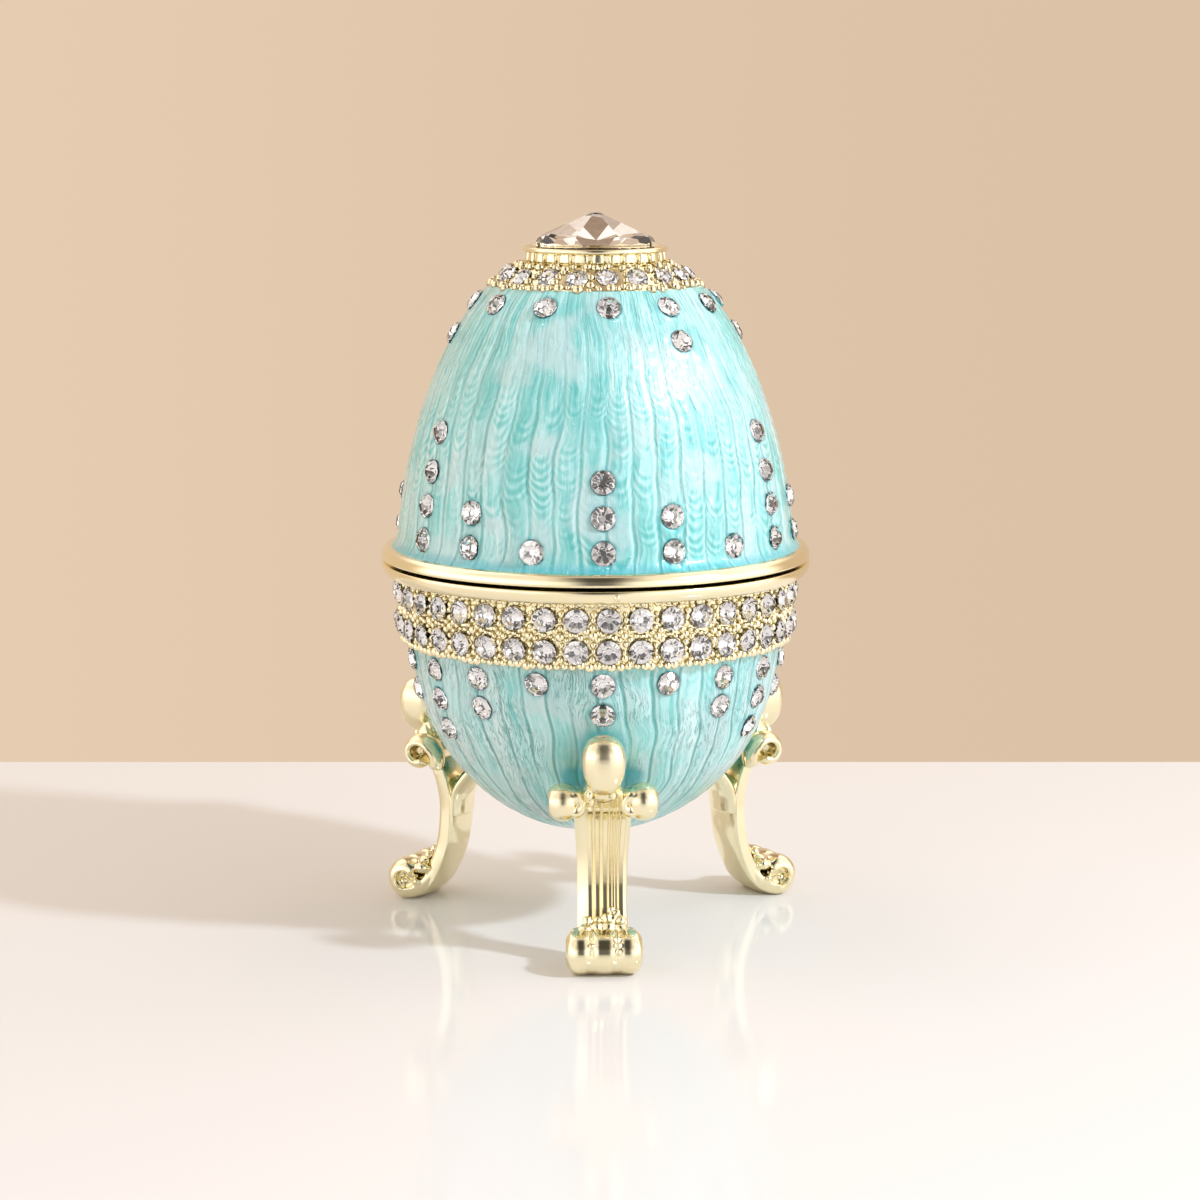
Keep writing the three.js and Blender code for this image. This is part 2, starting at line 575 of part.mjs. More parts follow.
function legBody() {
  const strap = ribbon(
    [
      [legRoot + SCROLL_REACH - SCROLL_RADIUS / 2, scrollHeight],
      [shank[0], (shank[1] + scrollHeight) / 2],
      shank,
      [legRoot + ANKLE_REACH, ANKLE_HEIGHT],
      [legRoot + (ANKLE_REACH + TOE_REACH) / 2, strapFoot + STRAP_THICKNESS / 2],
      [legRoot + TOE_REACH, strapFoot],
    ],
    STRAP_THICKNESS,
    2 * HIDDEN_STEPS,
  );
  const bracket = ribbon(
    [
      [shank[0], shank[1] + BRACKET_THICKNESS / 2],
      lifted(baseRadius, bracketHeight, BRACKET_THICKNESS),
      lifted(baseRadius, bracketHeight, -BRACKET_THICKNESS),
    ],
    BRACKET_THICKNESS,
    HIDDEN_STEPS,
  );
  const stem = ribbon(
    [
      [legRoot + SCROLL_REACH, scrollHeight],
      [legRoot + BUD_REACH, BUD_HEIGHT],
    ],
    2 * NECK_RADIUS,
    1,
  );
  const bud = solid(turned(budProfile(), ROUND_FACETS).translate(0, -legRoot - BUD_REACH, BUD_HEIGHT));
  const neck = new THREE.CylinderGeometry(NECK_RADIUS, NECK_RADIUS, BUD_REACH, ROUND_FACETS);
  neck.translate(0, -legRoot - BUD_REACH / 2, BUD_HEIGHT);
  return join([
    solid(sidePlate(strap, STRAP_WIDTH)),
    solid(sidePlate(bracket, BRACKET_WIDTH)),
    roll(scrollProfile(), legRoot + SCROLL_REACH, scrollHeight),
    roll(toeProfile(), legRoot + TOE_REACH, toeHeight),
    solid(sidePlate(stem, 2 * NECK_RADIUS)),
    solid(neck),
    bud,
  ]);
}

// A tenon runs from the bracket through the enamel to the casting.
function tenon(radius, inset, azimuth = 0) {
  const low = -(CASTING_DEPTH - inset);
  const high = LEG_GAP + BRACKET_THICKNESS / 2;
  const peg = turned([[0, low], [radius, low], [radius, high], [0, high]], STONE_SIDES);
  return solid(onSkin(peg, [baseRadius(bracketHeight), bracketHeight], bracketNormal, azimuth));
}

const eggClearance = solid(
  turned(
    [
      [0, PARTING_HEIGHT],
      ...along(
        (height) => baseRadius(height, -LEG_GAP),
        PARTING_HEIGHT,
        PARTING_HEIGHT - BASE_LENGTH - LEG_GAP,
        2 * CURVE_STEPS,
      ),
    ],
    EGG_FACETS,
  ),
);
const belowTable = solid(
  new THREE.BoxGeometry(2 * TOE_WIDTH, 4 * RIM_RADIUS, 2 * TOE_RADIUS).translate(0, 0, -TOE_RADIUS),
);
const leg = legBody().subtract(eggClearance).subtract(belowTable).add(tenon(TENON_RADIUS, SEAT_CLEARANCE));
const LEG_NAMES = ["leg_front", "leg_rear_right", "leg_rear_left"];
const tenonHoles = LEG_NAMES.map((name, index) => {
  const azimuth = (FULL_TURN * index) / LEG_NAMES.length;
  addPiece(name, leg, gilt()).rotation.z = azimuth;
  return tenon(TENON_RADIUS + SEAT_CLEARANCE, -SEAT_CLEARANCE, azimuth);
});

// Base enamel, from just below the band round the bottom, with a hole for each leg's tenon.
const baseEnamelTop = BAND_FOOT - SEAT_CLEARANCE;
const baseEnamel = [
  ...along(baseRadius, baseEnamelTop, PARTING_HEIGHT - BASE_LENGTH, CURVE_STEPS).reverse(),
  ...along(
    (height) => baseRadius(height, ENAMEL_THICKNESS),
    baseEnamelTop,
    PARTING_HEIGHT - BASE_LENGTH + ENAMEL_THICKNESS,
    CURVE_STEPS,
  ),
];
addPiece("base_enamel", solid(turned(baseEnamel, EGG_FACETS)).subtract(join(tenonHoles)), enamel());

export default egg;
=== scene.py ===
import json
import math
import random

import bpy
import numpy as np
from mathutils import Matrix, Vector, noise


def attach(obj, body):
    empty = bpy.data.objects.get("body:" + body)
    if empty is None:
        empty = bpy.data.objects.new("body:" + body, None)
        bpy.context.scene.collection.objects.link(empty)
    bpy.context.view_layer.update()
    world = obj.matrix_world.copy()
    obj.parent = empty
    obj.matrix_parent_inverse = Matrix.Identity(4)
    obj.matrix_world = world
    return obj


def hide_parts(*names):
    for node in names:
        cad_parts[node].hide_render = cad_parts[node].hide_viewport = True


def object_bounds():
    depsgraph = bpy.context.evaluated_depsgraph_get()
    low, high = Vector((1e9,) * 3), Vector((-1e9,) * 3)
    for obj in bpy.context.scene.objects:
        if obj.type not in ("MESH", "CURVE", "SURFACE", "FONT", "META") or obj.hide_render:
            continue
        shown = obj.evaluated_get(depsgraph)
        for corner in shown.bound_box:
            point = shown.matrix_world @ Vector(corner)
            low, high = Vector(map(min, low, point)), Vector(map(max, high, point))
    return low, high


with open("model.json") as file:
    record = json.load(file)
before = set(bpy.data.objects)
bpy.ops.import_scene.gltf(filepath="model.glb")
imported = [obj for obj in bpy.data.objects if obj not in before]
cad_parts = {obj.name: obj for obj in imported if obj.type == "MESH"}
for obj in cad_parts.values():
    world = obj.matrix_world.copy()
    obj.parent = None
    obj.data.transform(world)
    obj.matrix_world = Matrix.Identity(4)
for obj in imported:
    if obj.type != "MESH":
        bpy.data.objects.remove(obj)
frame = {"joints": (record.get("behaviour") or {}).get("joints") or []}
cad_low, cad_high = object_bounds()

# Camera: a long lens a little above the box and a few degrees off its front leg, looking slightly down.
# Sizes here and below are in millimetres, and MM turns them to metres.
MM = 0.001
CAMERA_PLACE = (0.44, -310.27, 83.93)
CAMERA_PITCH, CAMERA_TURN = math.radians(9.481), math.radians(-2.3)
LENS, SENSOR = 95.86, 36.0
camera = bpy.data.objects.new("camera", bpy.data.cameras.new("camera"))
camera.data.lens = LENS
camera.data.sensor_width = SENSOR
camera_stand = Matrix.Rotation(CAMERA_TURN, 4, "Z") @ Matrix.Translation(Vector(CAMERA_PLACE) * MM)
camera.matrix_world = camera_stand @ Matrix.Rotation(math.pi / 2 - CAMERA_PITCH, 4, "X")
bpy.context.scene.collection.objects.link(camera)
bpy.context.scene.camera = camera

# Base bowl: the lower half of the egg, a zinc casting turned smooth and gilt inside and out.
# Its rolled rim and stone band stay bare. Two hinge knuckles and a magnet boss are cast on.
HINGE_Y, PARTING = (value / MM for value in frame["joints"][0]["pos_m"][1:])
PARTING_GAP = 0.3
BASE_RADIUS, BASE_LENGTH = 18.53, 27.18
BASE_SHOULDER, BASE_CROWN = 2.92, 1.88
CASTING_DEPTH, BASE_WALL = 0.8, 2.4
RIM_RADIUS, RIM_SHARP, RIM_SOFT = 21.0, 0.22, 0.75
BASE_RIM_HEIGHT = 1.3
RIM_PIP_RADIUS, RIM_PIP_SHARE, RIM_PIP_TURN = 0.32, 0.45, math.radians(3.2)
BAND_DEPTH, BAND_RISE, BAND_FLOOR = 7.65, 0.8, 0.5
BAND_ROWS = (3.15, 6.15)
BAND_STONES, BAND_STONE_RADIUS, BAND_TURN = 40, 1.13, math.radians(1.5)
SEAT_DEPTH = 1.0
KNUCKLE_RADIUS, KNUCKLE_GAP, KNUCKLE_ROUND = 1.2, 0.25, 0.2
LID_KNUCKLE, BASE_KNUCKLE = 3.4, 2.6
WEB_ROUND = 0.15
MAGNET_RADIUS, MAGNET_THICKNESS, MAGNET_WALL, MAGNET_ROUND = 1.5, 1.5, 0.85, 0.12
BOSS_OVERLAP, MAGNET_INSET = 0.2, 0.15
# The third, deep gold tone is painted shade, laid in creases and round the roots of grains.
GILT_PALE, GILT_WARM, GILT_SHADE = "faf2d2", "f1e4ba", "7d6128"
BUFF_LOW, BUFF_HIGH = 9.0 * MM, 19.0 * MM
BASE_MOUTH = PARTING - PARTING_GAP / 2
BASE_INSIDE_DEPTH = CASTING_DEPTH + BASE_WALL
MAGNET_REACH = BASE_RADIUS - BASE_INSIDE_DEPTH - MAGNET_RADIUS - MAGNET_INSET


def base_radius(height, depth=0.0):
    """Radius of the lower egg at a height, a depth under its skin."""
    share = np.maximum(0.0, PARTING - np.asarray(height, float)) / (BASE_LENGTH - depth)
    return (BASE_RADIUS - depth) * np.maximum(0.0, 1 - share**BASE_SHOULDER) ** (1 / BASE_CROWN)


def graded(start, end, count):
    """Heights that crowd towards the end, where the egg turns in."""
    return start + (end - start) * np.sin(np.linspace(0, math.pi / 2, count))


def along(radius_at, heights, *depth):
    """Points of an egg curve in the turning plane."""
    return [(float(radius_at(height, *depth)), height) for height in heights]


def arc(radius, height, wide, tall, first, last, count):
    """Points of a rounded edge in the turning plane, by angles in degrees."""
    angles = np.radians(np.linspace(first, last, count))
    return [(radius + wide * math.cos(angle), height + tall * math.sin(angle)) for angle in angles]


def ring_turns(count, first=0.0):
    """Azimuths of things spaced evenly round the egg."""
    return [first + 2 * math.pi * number / count for number in range(count)]


def smoothstep(low, high, values):
    share = np.clip((values - low) / (high - low), 0, 1)
    return share * share * (3 - 2 * share)


def open_piece():
    """Opens the active piece for shaping, with all of it chosen."""
    bpy.ops.object.mode_set(mode="EDIT")
    bpy.ops.mesh.select_all(action="SELECT")


def close_piece():
    bpy.ops.object.mode_set(mode="OBJECT")


def start_piece(name, add, **settings):
    """Adds a primitive with nothing else chosen, names it and opens it for shaping."""
    bpy.ops.object.select_all(action="DESELECT")
    add(**settings)
    bpy.ops.object.transform_apply(location=True, rotation=True, scale=True)
    piece = bpy.context.object
    piece.name = name
    piece.data.name = name
    open_piece()
    return piece


def weld(gap, fill=False):
    """Merges doubled points, caps open ends if asked, turns the faces outwards and ends the shaping."""
    bpy.ops.mesh.select_all(action="SELECT")
    bpy.ops.mesh.remove_doubles(threshold=gap * MM)
    if fill:
        bpy.ops.mesh.select_all(action="SELECT")
        bpy.ops.mesh.fill_holes(sides=0)
        bpy.ops.mesh.select_all(action="SELECT")
    bpy.ops.mesh.normals_make_consistent(inside=False)
    close_piece()


def choose(piece):
    """Makes one piece the only one chosen."""
    bpy.ops.object.select_all(action="DESELECT")
    piece.select_set(True)
    bpy.context.view_layer.objects.active = piece


def apply_modifier(piece, kind, **settings):
    choose(piece)
    modifier = piece.modifiers.new(kind.lower(), kind)
    for option, value in settings.items():
        setattr(modifier, option, value)
    bpy.ops.object.modifier_apply(modifier=modifier.name)


def turned(name, profile, steps, halvings=0):
    """Spins a profile of (radius, height) points about the egg's axis, with the seam at the back."""
    piece = start_piece(name, bpy.ops.mesh.primitive_plane_add, size=MM)
    bpy.ops.mesh.merge(type="CENTER")
    bpy.ops.transform.translate(value=Vector((0, *profile[0])) * MM)
    for here, there in zip(profile, profile[1:]):
        step = Vector((0, there[0] - here[0], there[1] - here[1])) * MM
        bpy.ops.mesh.extrude_region_move(TRANSFORM_OT_translate={"value": step})
    bpy.ops.mesh.select_all(action="SELECT")
    bpy.ops.mesh.spin(steps=steps, angle=2 * math.pi, center=(0, 0, 0), axis=(0, 0, 1))
    weld(0.001)
    if halvings:
        apply_modifier(piece, "SUBSURF", subdivision_type="SIMPLE", levels=halvings, render_levels=halvings)
    return piece


def join_pieces(name, pieces):
    choose(pieces[0])
    for piece in pieces[1:]:
        piece.select_set(True)
    if len(pieces) > 1:
        bpy.ops.object.join()
    pieces[0].name = name
    pieces[0].data.name = name
    return pieces[0]


def smooth(piece, degrees):
    choose(piece)
    bpy.ops.object.shade_smooth_by_angle(angle=math.radians(degrees))


def points_of(piece):
    """The piece's vertices in millimetres, as an array."""
    flat = np.empty(len(piece.data.vertices) * 3, np.float32)
    piece.data.vertices.foreach_get("co", flat)
    return flat.reshape(-1, 3).astype(float) / MM


def move_points(piece, points):
    piece.data.vertices.foreach_set("co", (points * MM).astype(np.float32).ravel())
    piece.data.update()


def on_skin(radius_at, height, azimuth):
    """The point of an egg curve at a height and azimuth from the front, and its outward normal."""
    step = 0.05
    slope = float(radius_at(height + step) - radius_at(height - step)) / (2 * step)
    out, up = 1 / math.hypot(1, slope), -slope / math.hypot(1, slope)
    radius = float(radius_at(height))
    point = Vector((radius * math.sin(azimuth), -radius * math.cos(azimuth), height))
    return point, Vector((out * math.sin(azimuth), -out * math.cos(azimuth), up))


def off_axis(points, place, normal):
    """How far each point lies from a stone's axis, and how high over its seat."""
    rise = (points - np.array(place)) @ np.array(normal)
    across = points - np.array(place) - np.outer(rise, np.array(normal))
    return np.linalg.norm(across, axis=1), rise


def sink_seats(piece, seats, radius, depth):
    """Presses a round seat under each stone."""
    points = points_of(piece)
    moved = points.copy()
    for place, normal in seats:
        across, rise = off_axis(points, place, normal)
        push = depth * (1 - smoothstep(0.7, 0.95, across / radius)) * (np.abs(rise) < depth)
        moved -= np.outer(push, np.array(normal))
    move_points(piece, moved)


def linear(colour):
    """An sRGB hex colour as linear RGBA."""
    parts = [int(colour[start : start + 2], 16) / 255 for start in (0, 2, 4)]
    return [part / 12.92 if part <= 0.04045 else ((part + 0.055) / 1.055) ** 2.4 for part in parts] + [1.0]


# What a step of a material can be: its node, the node's options, the sockets that its inputs fill in turn
# and the output that it gives. Any other step is a Math node, named by its operation.
RANGE_SOCKETS = ("Value", "From Min", "From Max", "To Min", "To Max")
STEP_KINDS = {
    "place": ("ShaderNodeTexCoord", {}, (), "Object"),
    "direction": ("ShaderNodeTexCoord", {}, (), "Generated"),
    "camera ray": ("ShaderNodeLightPath", {}, (), "Is Camera Ray"),
    "crease": ("ShaderNodeNewGeometry", {}, (), "Pointiness"),
    "kept root": ("ShaderNodeAttribute", {"attribute_name": "root"}, (), "Fac"),
    "kept pool": ("ShaderNodeAttribute", {"attribute_name": "pool"}, (), "Fac"),
    "kept flutes": ("ShaderNodeUVMap", {"uv_map": "flutes"}, (), 0),
    "x of": ("ShaderNodeSeparateXYZ", {}, (0,), 0),
    "y of": ("ShaderNodeSeparateXYZ", {}, (0,), 1),
    "z of": ("ShaderNodeSeparateXYZ", {}, (0,), 2),
    "pair": ("ShaderNodeCombineXYZ", {}, (0, 1), 0),
    "chance": ("ShaderNodeTexWhiteNoise", {"noise_dimensions": "1D"}, ("W",), 0),
    "noise": ("ShaderNodeTexNoise", {}, ("Vector", "Scale", "Detail", "Roughness"), 0),
    "range": ("ShaderNodeMapRange", {}, RANGE_SOCKETS, 0),
    "ease": ("ShaderNodeMapRange", {"interpolation_type": "SMOOTHSTEP"}, RANGE_SOCKETS, 0),
    "tint": ("ShaderNodeMix", {"data_type": "RGBA"}, (0, 6, 7), 2),
    "bump": ("ShaderNodeBump", {}, ("Height", "Strength", "Distance"), 0),
}


def fill_sockets(tree, node, sockets, known):
    """Gives each socket its value, or a link from the step that it names."""
    for socket, value in sockets.items():
        if isinstance(value, str):
            tree.links.new(known[value], node.inputs[socket])
        else:
            node.inputs[socket].default_value = value


def add_node(tree, kind, settings, sockets, known):
    """Adds one node with its own options, values and links."""
    made = tree.nodes.new(kind)
    for option, value in settings.items():
        setattr(made, option, value)
    fill_sockets(tree, made, sockets, known)
    return made


def add_steps(tree, steps):
    """Adds the nodes of a table of steps, and gives their outputs by name."""
    known = {}
    for name, kind, *inputs in steps:
        maths = ("ShaderNodeMath", {"operation": kind}, (0, 1, 2), 0)
        node, settings, sockets, output = STEP_KINDS.get(kind, maths)
        known[name] = add_node(tree, node, settings, dict(zip(sockets, inputs)), known).outputs[output]
    return known


def new_material(name, steps, finish):
    """A material whose shader takes the values and steps named in its finish."""
    made = bpy.data.materials.new(name)
    made.use_nodes = True
    known = add_steps(made.node_tree, (("place", "place"), *steps))
    fill_sockets(made.node_tree, made.node_tree.nodes["Principled BSDF"], finish, known)
    return made


def gilt_zinc(name, patch_mm, dimple_mm, dimples, low_haze, top_haze, root_shade_share=0.0):
    """Zinc casting, polished and flashed with pale gold: a warm mirror with soft dips from the mould,
    paler where it was buffed and, with painted shade, browner down in its creases and round its grains'
    roots."""
    steps = (
        ("patch", "noise", "place", 1 / (patch_mm * MM), 3.0),
        ("tone", "tint", "patch", linear(GILT_PALE), linear(GILT_WARM)),
        # Painted shade: darker, browner gold in creases, found by pointiness, and round the roots of grains.
        ("crease", "crease"),
        ("crease_shade", "ease", "crease", 0.36, 0.49, 0.75, 0.0),
        ("root", "kept root"),
        ("root_shade", "MULTIPLY", "root", root_shade_share),
        ("painted_shade", "MAXIMUM", "crease_shade", "root_shade"),
        ("shaded_gilt", "tint", "painted_shade", "tone", linear(GILT_SHADE)),
        ("dimple", "noise", "place", 1 / (dimple_mm * MM), 2.0),
        ("dips", "bump", "dimple", dimples, 0.1 * MM),
        ("height", "z of", "place"),
        ("buffed", "range", "height", BUFF_LOW, BUFF_HIGH, low_haze, top_haze),
        ("uneven", "range", "patch", 0.0, 1.0, 0.7, 1.4),
        ("haze", "MULTIPLY", "buffed", "uneven"),
    )
    finish = {"Base Color": "shaded_gilt", "Roughness": "haze", "Normal": "dips", "Metallic": 1.0}
    return new_material(name, steps, finish)


def rod(name, radius, length, middle, lying=False, sides=48):
    """A round bar, upright or lying along the hinge."""
    piece = start_piece(
        name,
        bpy.ops.mesh.primitive_cylinder_add,
        vertices=sides,
        radius=radius * MM,
        depth=length * MM,
        location=Vector(middle) * MM,
        rotation=(0, math.pi / 2 if lying else 0, 0),
    )
    close_piece()
    return piece


def round_ends(piece, width, segments):
    """Rounds the sharp end edges of a bar."""
    limit = {"limit_method": "ANGLE", "angle_limit": math.radians(60)}
    apply_modifier(piece, "BEVEL", width=width * MM, segments=segments, **limit)


def round_all(width, segments):
    """Rounds every edge of the piece that was added last."""
    open_piece()
    bpy.ops.mesh.bevel(offset=width * MM, segments=segments)
    close_piece()


def knuckle(name, centre, length, web_low, web_high):
    """One barrel of the hinge with rounded ends, and the web that ties it to a rim."""
    barrel = rod(name, KNUCKLE_RADIUS, length, (centre, HINGE_Y, PARTING), lying=True)
    round_ends(barrel, KNUCKLE_ROUND, 3)
    web_depth = HINGE_Y - (RIM_RADIUS - KNUCKLE_RADIUS)
    web = start_piece(
        name + "_web",
        bpy.ops.mesh.primitive_cube_add,
        size=1,
        location=Vector((centre, HINGE_Y - web_depth / 2, (web_low + web_high) / 2)) * MM,
        scale=Vector((length, web_depth, web_high - web_low)) * MM,
    )
    round_all(WEB_ROUND, 2)
    return join_pieces(name, [barrel, web])


def magnet_boss(name, wall_radius, mouth, inward):
    """The rounded lug inside the front wall that holds a magnet."""
    height = MAGNET_THICKNESS + MAGNET_WALL
    boss = rod(name, MAGNET_RADIUS + MAGNET_WALL, height, (0, -MAGNET_REACH, mouth + inward * height / 2))
    points = points_of(boss)
    outer = points[:, 1] < -MAGNET_REACH - 0.01
    points[outer, 1] = -np.sqrt((wall_radius + BOSS_OVERLAP) ** 2 - points[outer, 0] ** 2)
    move_points(boss, points)
    round_ends(boss, MAGNET_ROUND, 2)
    return boss


def finish_piece(piece, material, body, slot, *nodes):
    """Dresses a piece, and ties it to the body that it moves with and the solids that it stands for."""
    if material:
        piece.data.materials.clear()
        piece.data.materials.append(material)
    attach(piece, body)
    if nodes:
        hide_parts(*nodes)


band_foot = PARTING - BAND_DEPTH
band_heights = [PARTING - depth for depth in BAND_ROWS]
band_turns = ring_turns(BAND_STONES, BAND_TURN)
band_seats = [
    [on_skin(lambda level: base_radius(level) + BAND_RISE, height, turn) for turn in band_turns]
    for height in band_heights
]
rim_foot = BASE_MOUTH - BASE_RIM_HEIGHT
inside_bottom = PARTING - BASE_LENGTH + BASE_INSIDE_DEPTH
outside_bottom = PARTING - BASE_LENGTH + CASTING_DEPTH
rim_edge = BASE_MOUTH - RIM_SHARP
bowl_profile = (
    along(base_radius, graded(BASE_MOUTH, inside_bottom, 22)[::-1], BASE_INSIDE_DEPTH)
    + arc(RIM_RADIUS - RIM_SHARP, rim_edge, RIM_SHARP, RIM_SHARP, 90, 0, 5)
    + arc(RIM_RADIUS - RIM_SOFT, rim_edge, RIM_SOFT, BASE_RIM_HEIGHT - RIM_SHARP, 0, -90, 10)[1:]
    + along(lambda level: base_radius(level) + BAND_FLOOR, np.linspace(rim_foot, band_foot, 16))
    + along(base_radius, graded(band_foot, outside_bottom, 10), CASTING_DEPTH)
)
base_bowl = turned("base_bowl", bowl_profile, 240, halvings=1)
sink_seats(base_bowl, sum(band_seats, []), BAND_STONE_RADIUS, SEAT_DEPTH)
knuckle_offset = (LID_KNUCKLE + BASE_KNUCKLE) / 2 + KNUCKLE_GAP
base_knuckles = [
    knuckle("base_knuckle", side * knuckle_offset, BASE_KNUCKLE, rim_foot, BASE_MOUTH) for side in (-1, 1)
]
base_boss = magnet_boss("base_boss", BASE_RADIUS - BASE_INSIDE_DEPTH, BASE_MOUTH, -1)
rim_pip = start_piece(
    "rim_pip",
    bpy.ops.mesh.primitive_uv_sphere_add,
    segments=20,
    ring_count=12,
    radius=RIM_PIP_RADIUS * MM,
    location=Vector((0, -RIM_RADIUS, BASE_MOUTH - BASE_RIM_HEIGHT * RIM_PIP_SHARE)) * MM,
)
close_piece()
rim_pip.data.transform(Matrix.Rotation(RIM_PIP_TURN, 4, "Z"))
base_bowl = join_pieces("base_bowl", [base_bowl, *base_knuckles, base_boss, rim_pip])
smooth(base_bowl, 40)
polished_gilt = gilt_zinc(
    "polished_gilt_zinc", patch_mm=6.0, dimple_mm=1.4, dimples=0.05, low_haze=0.13, top_haze=0.13
)
finish_piece(base_bowl, polished_gilt, "base", "gilt_metal", "base_casting")

# Band stones: two rows of foil-backed glass chatons, glued into seats drilled in the band.
# Each is cut with flat planes: table, star, main and girdle facets over a pointed silvered back.
STONE_SIDES = 16
STONE_TABLE, STONE_GIRDLE, STONE_EDGE, STONE_POINT = 0.38, 0.05, 0.97, 0.74
STAR_ANGLE, MAIN_ANGLE, GIRDLE_ANGLE, BACK_ANGLE = 20, 35, 43, 43
STAR_REACH = 0.56
STONE_LEAN, STONE_LIFT = math.radians(6), 0.14
CRYSTAL_CLEAR, CRYSTAL_SMOKE = "ffffff", "f7f7f9"
FOIL_BRIGHT, FOIL_DULL = "ffffff", "dcdad9"
draw = random.Random(7)


def crystal_glass(name, clear, smoke, ior):
    """Machine-cut lead crystal: clear, hard and polished, with the faintest streaks of smoke in it."""
    steps = (
        ("streak", "noise", "place", 1 / (9.0 * MM), 0.0),
        ("tone", "tint", "streak", linear(clear), linear(smoke)),
    )
    return new_material(
        name, steps, {"Base Color": "tone", "Roughness": 0.0, "IOR": ior, "Transmission Weight": 1.0}
    )


def plated(name, mark_mm, detail, bright, dull, roughness):
    """Thin bright plating, as the silvered back of a chaton or the nickel on a magnet: a mirror that dulls
    in small patches where the lacquer is thin or the tumbling left its marks."""
    steps = (
        ("marks", "noise", "place", 1 / (mark_mm * MM), detail),
        ("tone", "tint", "marks", linear(bright), linear(dull)),
    )
    return new_material(name, steps, {"Base Color": "tone", "Metallic": 1.0, "Roughness": roughness})


def cut_facets(angle, count, first, edge, height):
    """Cuts a ring of facets that lean by an angle from straight up and pass over an edge at a height."""
    lean = math.radians(angle)
    flat = math.sin(lean)
    reach = edge * flat + height * abs(math.cos(lean))
    for azimuth in ring_turns(count, first):
        normal = Vector((flat * math.cos(azimuth), flat * math.sin(azimuth), math.cos(lean)))
        bpy.ops.mesh.select_all(action="SELECT")
        bpy.ops.mesh.bisect(plane_co=normal * reach, plane_no=normal, use_fill=True, clear_outer=True)


def silver_back(piece, lowest):
    """Gives the faces that look down the second material."""
    close_piece()
    for face in piece.data.polygons:
        face.material_index = 1 if face.normal.z < lowest else 0


crystal = crystal_glass("cut_crystal", CRYSTAL_CLEAR, CRYSTAL_SMOKE, 1.56)
foil = plated("silver_foil", mark_mm=0.9, detail=2.0, bright=FOIL_BRIGHT, dull=FOIL_DULL, roughness=0.03)
chaton = start_piece(
    "chaton_pattern", bpy.ops.mesh.primitive_cylinder_add, vertices=STONE_SIDES, radius=1.0, depth=2.0
)
half_step = math.pi / 8
for facets in (
    (0, 1, 0, 0, STONE_TABLE),
    (MAIN_ANGLE, 8, 0, STONE_EDGE, STONE_GIRDLE),
    (GIRDLE_ANGLE, 16, half_step / 2, STONE_EDGE, STONE_GIRDLE),
    (STAR_ANGLE, 8, half_step, STAR_REACH, STONE_TABLE),
    (180 - BACK_ANGLE, 8, half_step, STONE_EDGE, STONE_GIRDLE),
    (180, 1, 0, 0, STONE_POINT),
):
    cut_facets(*facets)
chaton.data.materials.append(crystal)
chaton.data.materials.append(foil)
silver_back(chaton, -0.2)


def give_or_take(most):
    return draw.uniform(-most, most)


def fresh_copy(pattern, place):
    """A copy of a pattern with a mesh of its own, moved to its place."""
    copy = pattern.copy()
    copy.data = pattern.data.copy()
    bpy.context.scene.collection.objects.link(copy)
    copy.data.transform(place)
    return copy


def set_copies(name, pattern, places, lean=0.0):
    """Copies a pattern to each (point, normal, size) in millimetres, turned at random about the normal."""
    copies = []
    for point, normal, size in places:
        tilt_x, tilt_y = give_or_take(lean), give_or_take(lean)
        tilt = Matrix.Rotation(tilt_x, 4, "X") @ Matrix.Rotation(tilt_y, 4, "Y")
        spin = Matrix.Rotation(draw.uniform(0, 2 * math.pi), 4, "Z")
        stand = normal.to_track_quat("Z", "Y").to_matrix().to_4x4()
        place = Matrix.Translation(point * MM) @ stand @ tilt @ spin @ Matrix.Scale(size * MM, 4)
        copies.append(fresh_copy(pattern, place))
    return join_pieces(name, copies)


def set_stones(name, seats, radius, body, node):
    """Sets a chaton on each seat, a little proud of it."""
    places = [(point + normal * STONE_LIFT, normal, radius) for point, normal in seats]
    finish_piece(set_copies(name, chaton, places, STONE_LEAN), None, body, "stone", node)


for row, seats in zip(("upper", "lower"), band_seats):
    set_stones(row + "_band_crystals", seats, BAND_STONE_RADIUS, "base", "band_" + row + "_stones")

# Band grains: small round beads of the casting that stand between the stones and along both edges.
# They look like the raised grains that hold close-set stones, and are gilt with the bowl.
GRAIN_STAND, GRAIN_FLATNESS, GRAIN_ROOT = 0.68, 0.85, 0.75
# How far grains stray up and, as an angle, aside, and their smallest and largest share of a size.
BAND_STRAY = (0.1, 0.1 / BASE_RADIUS, 0.78, 1.22)
TOP_GRAINS, TOP_GRAIN, TOP_DROP = 5, 0.29, 0.26
FOOT_GRAINS, FOOT_GRAIN, FOOT_LIFT = 4, 0.4, 0.12
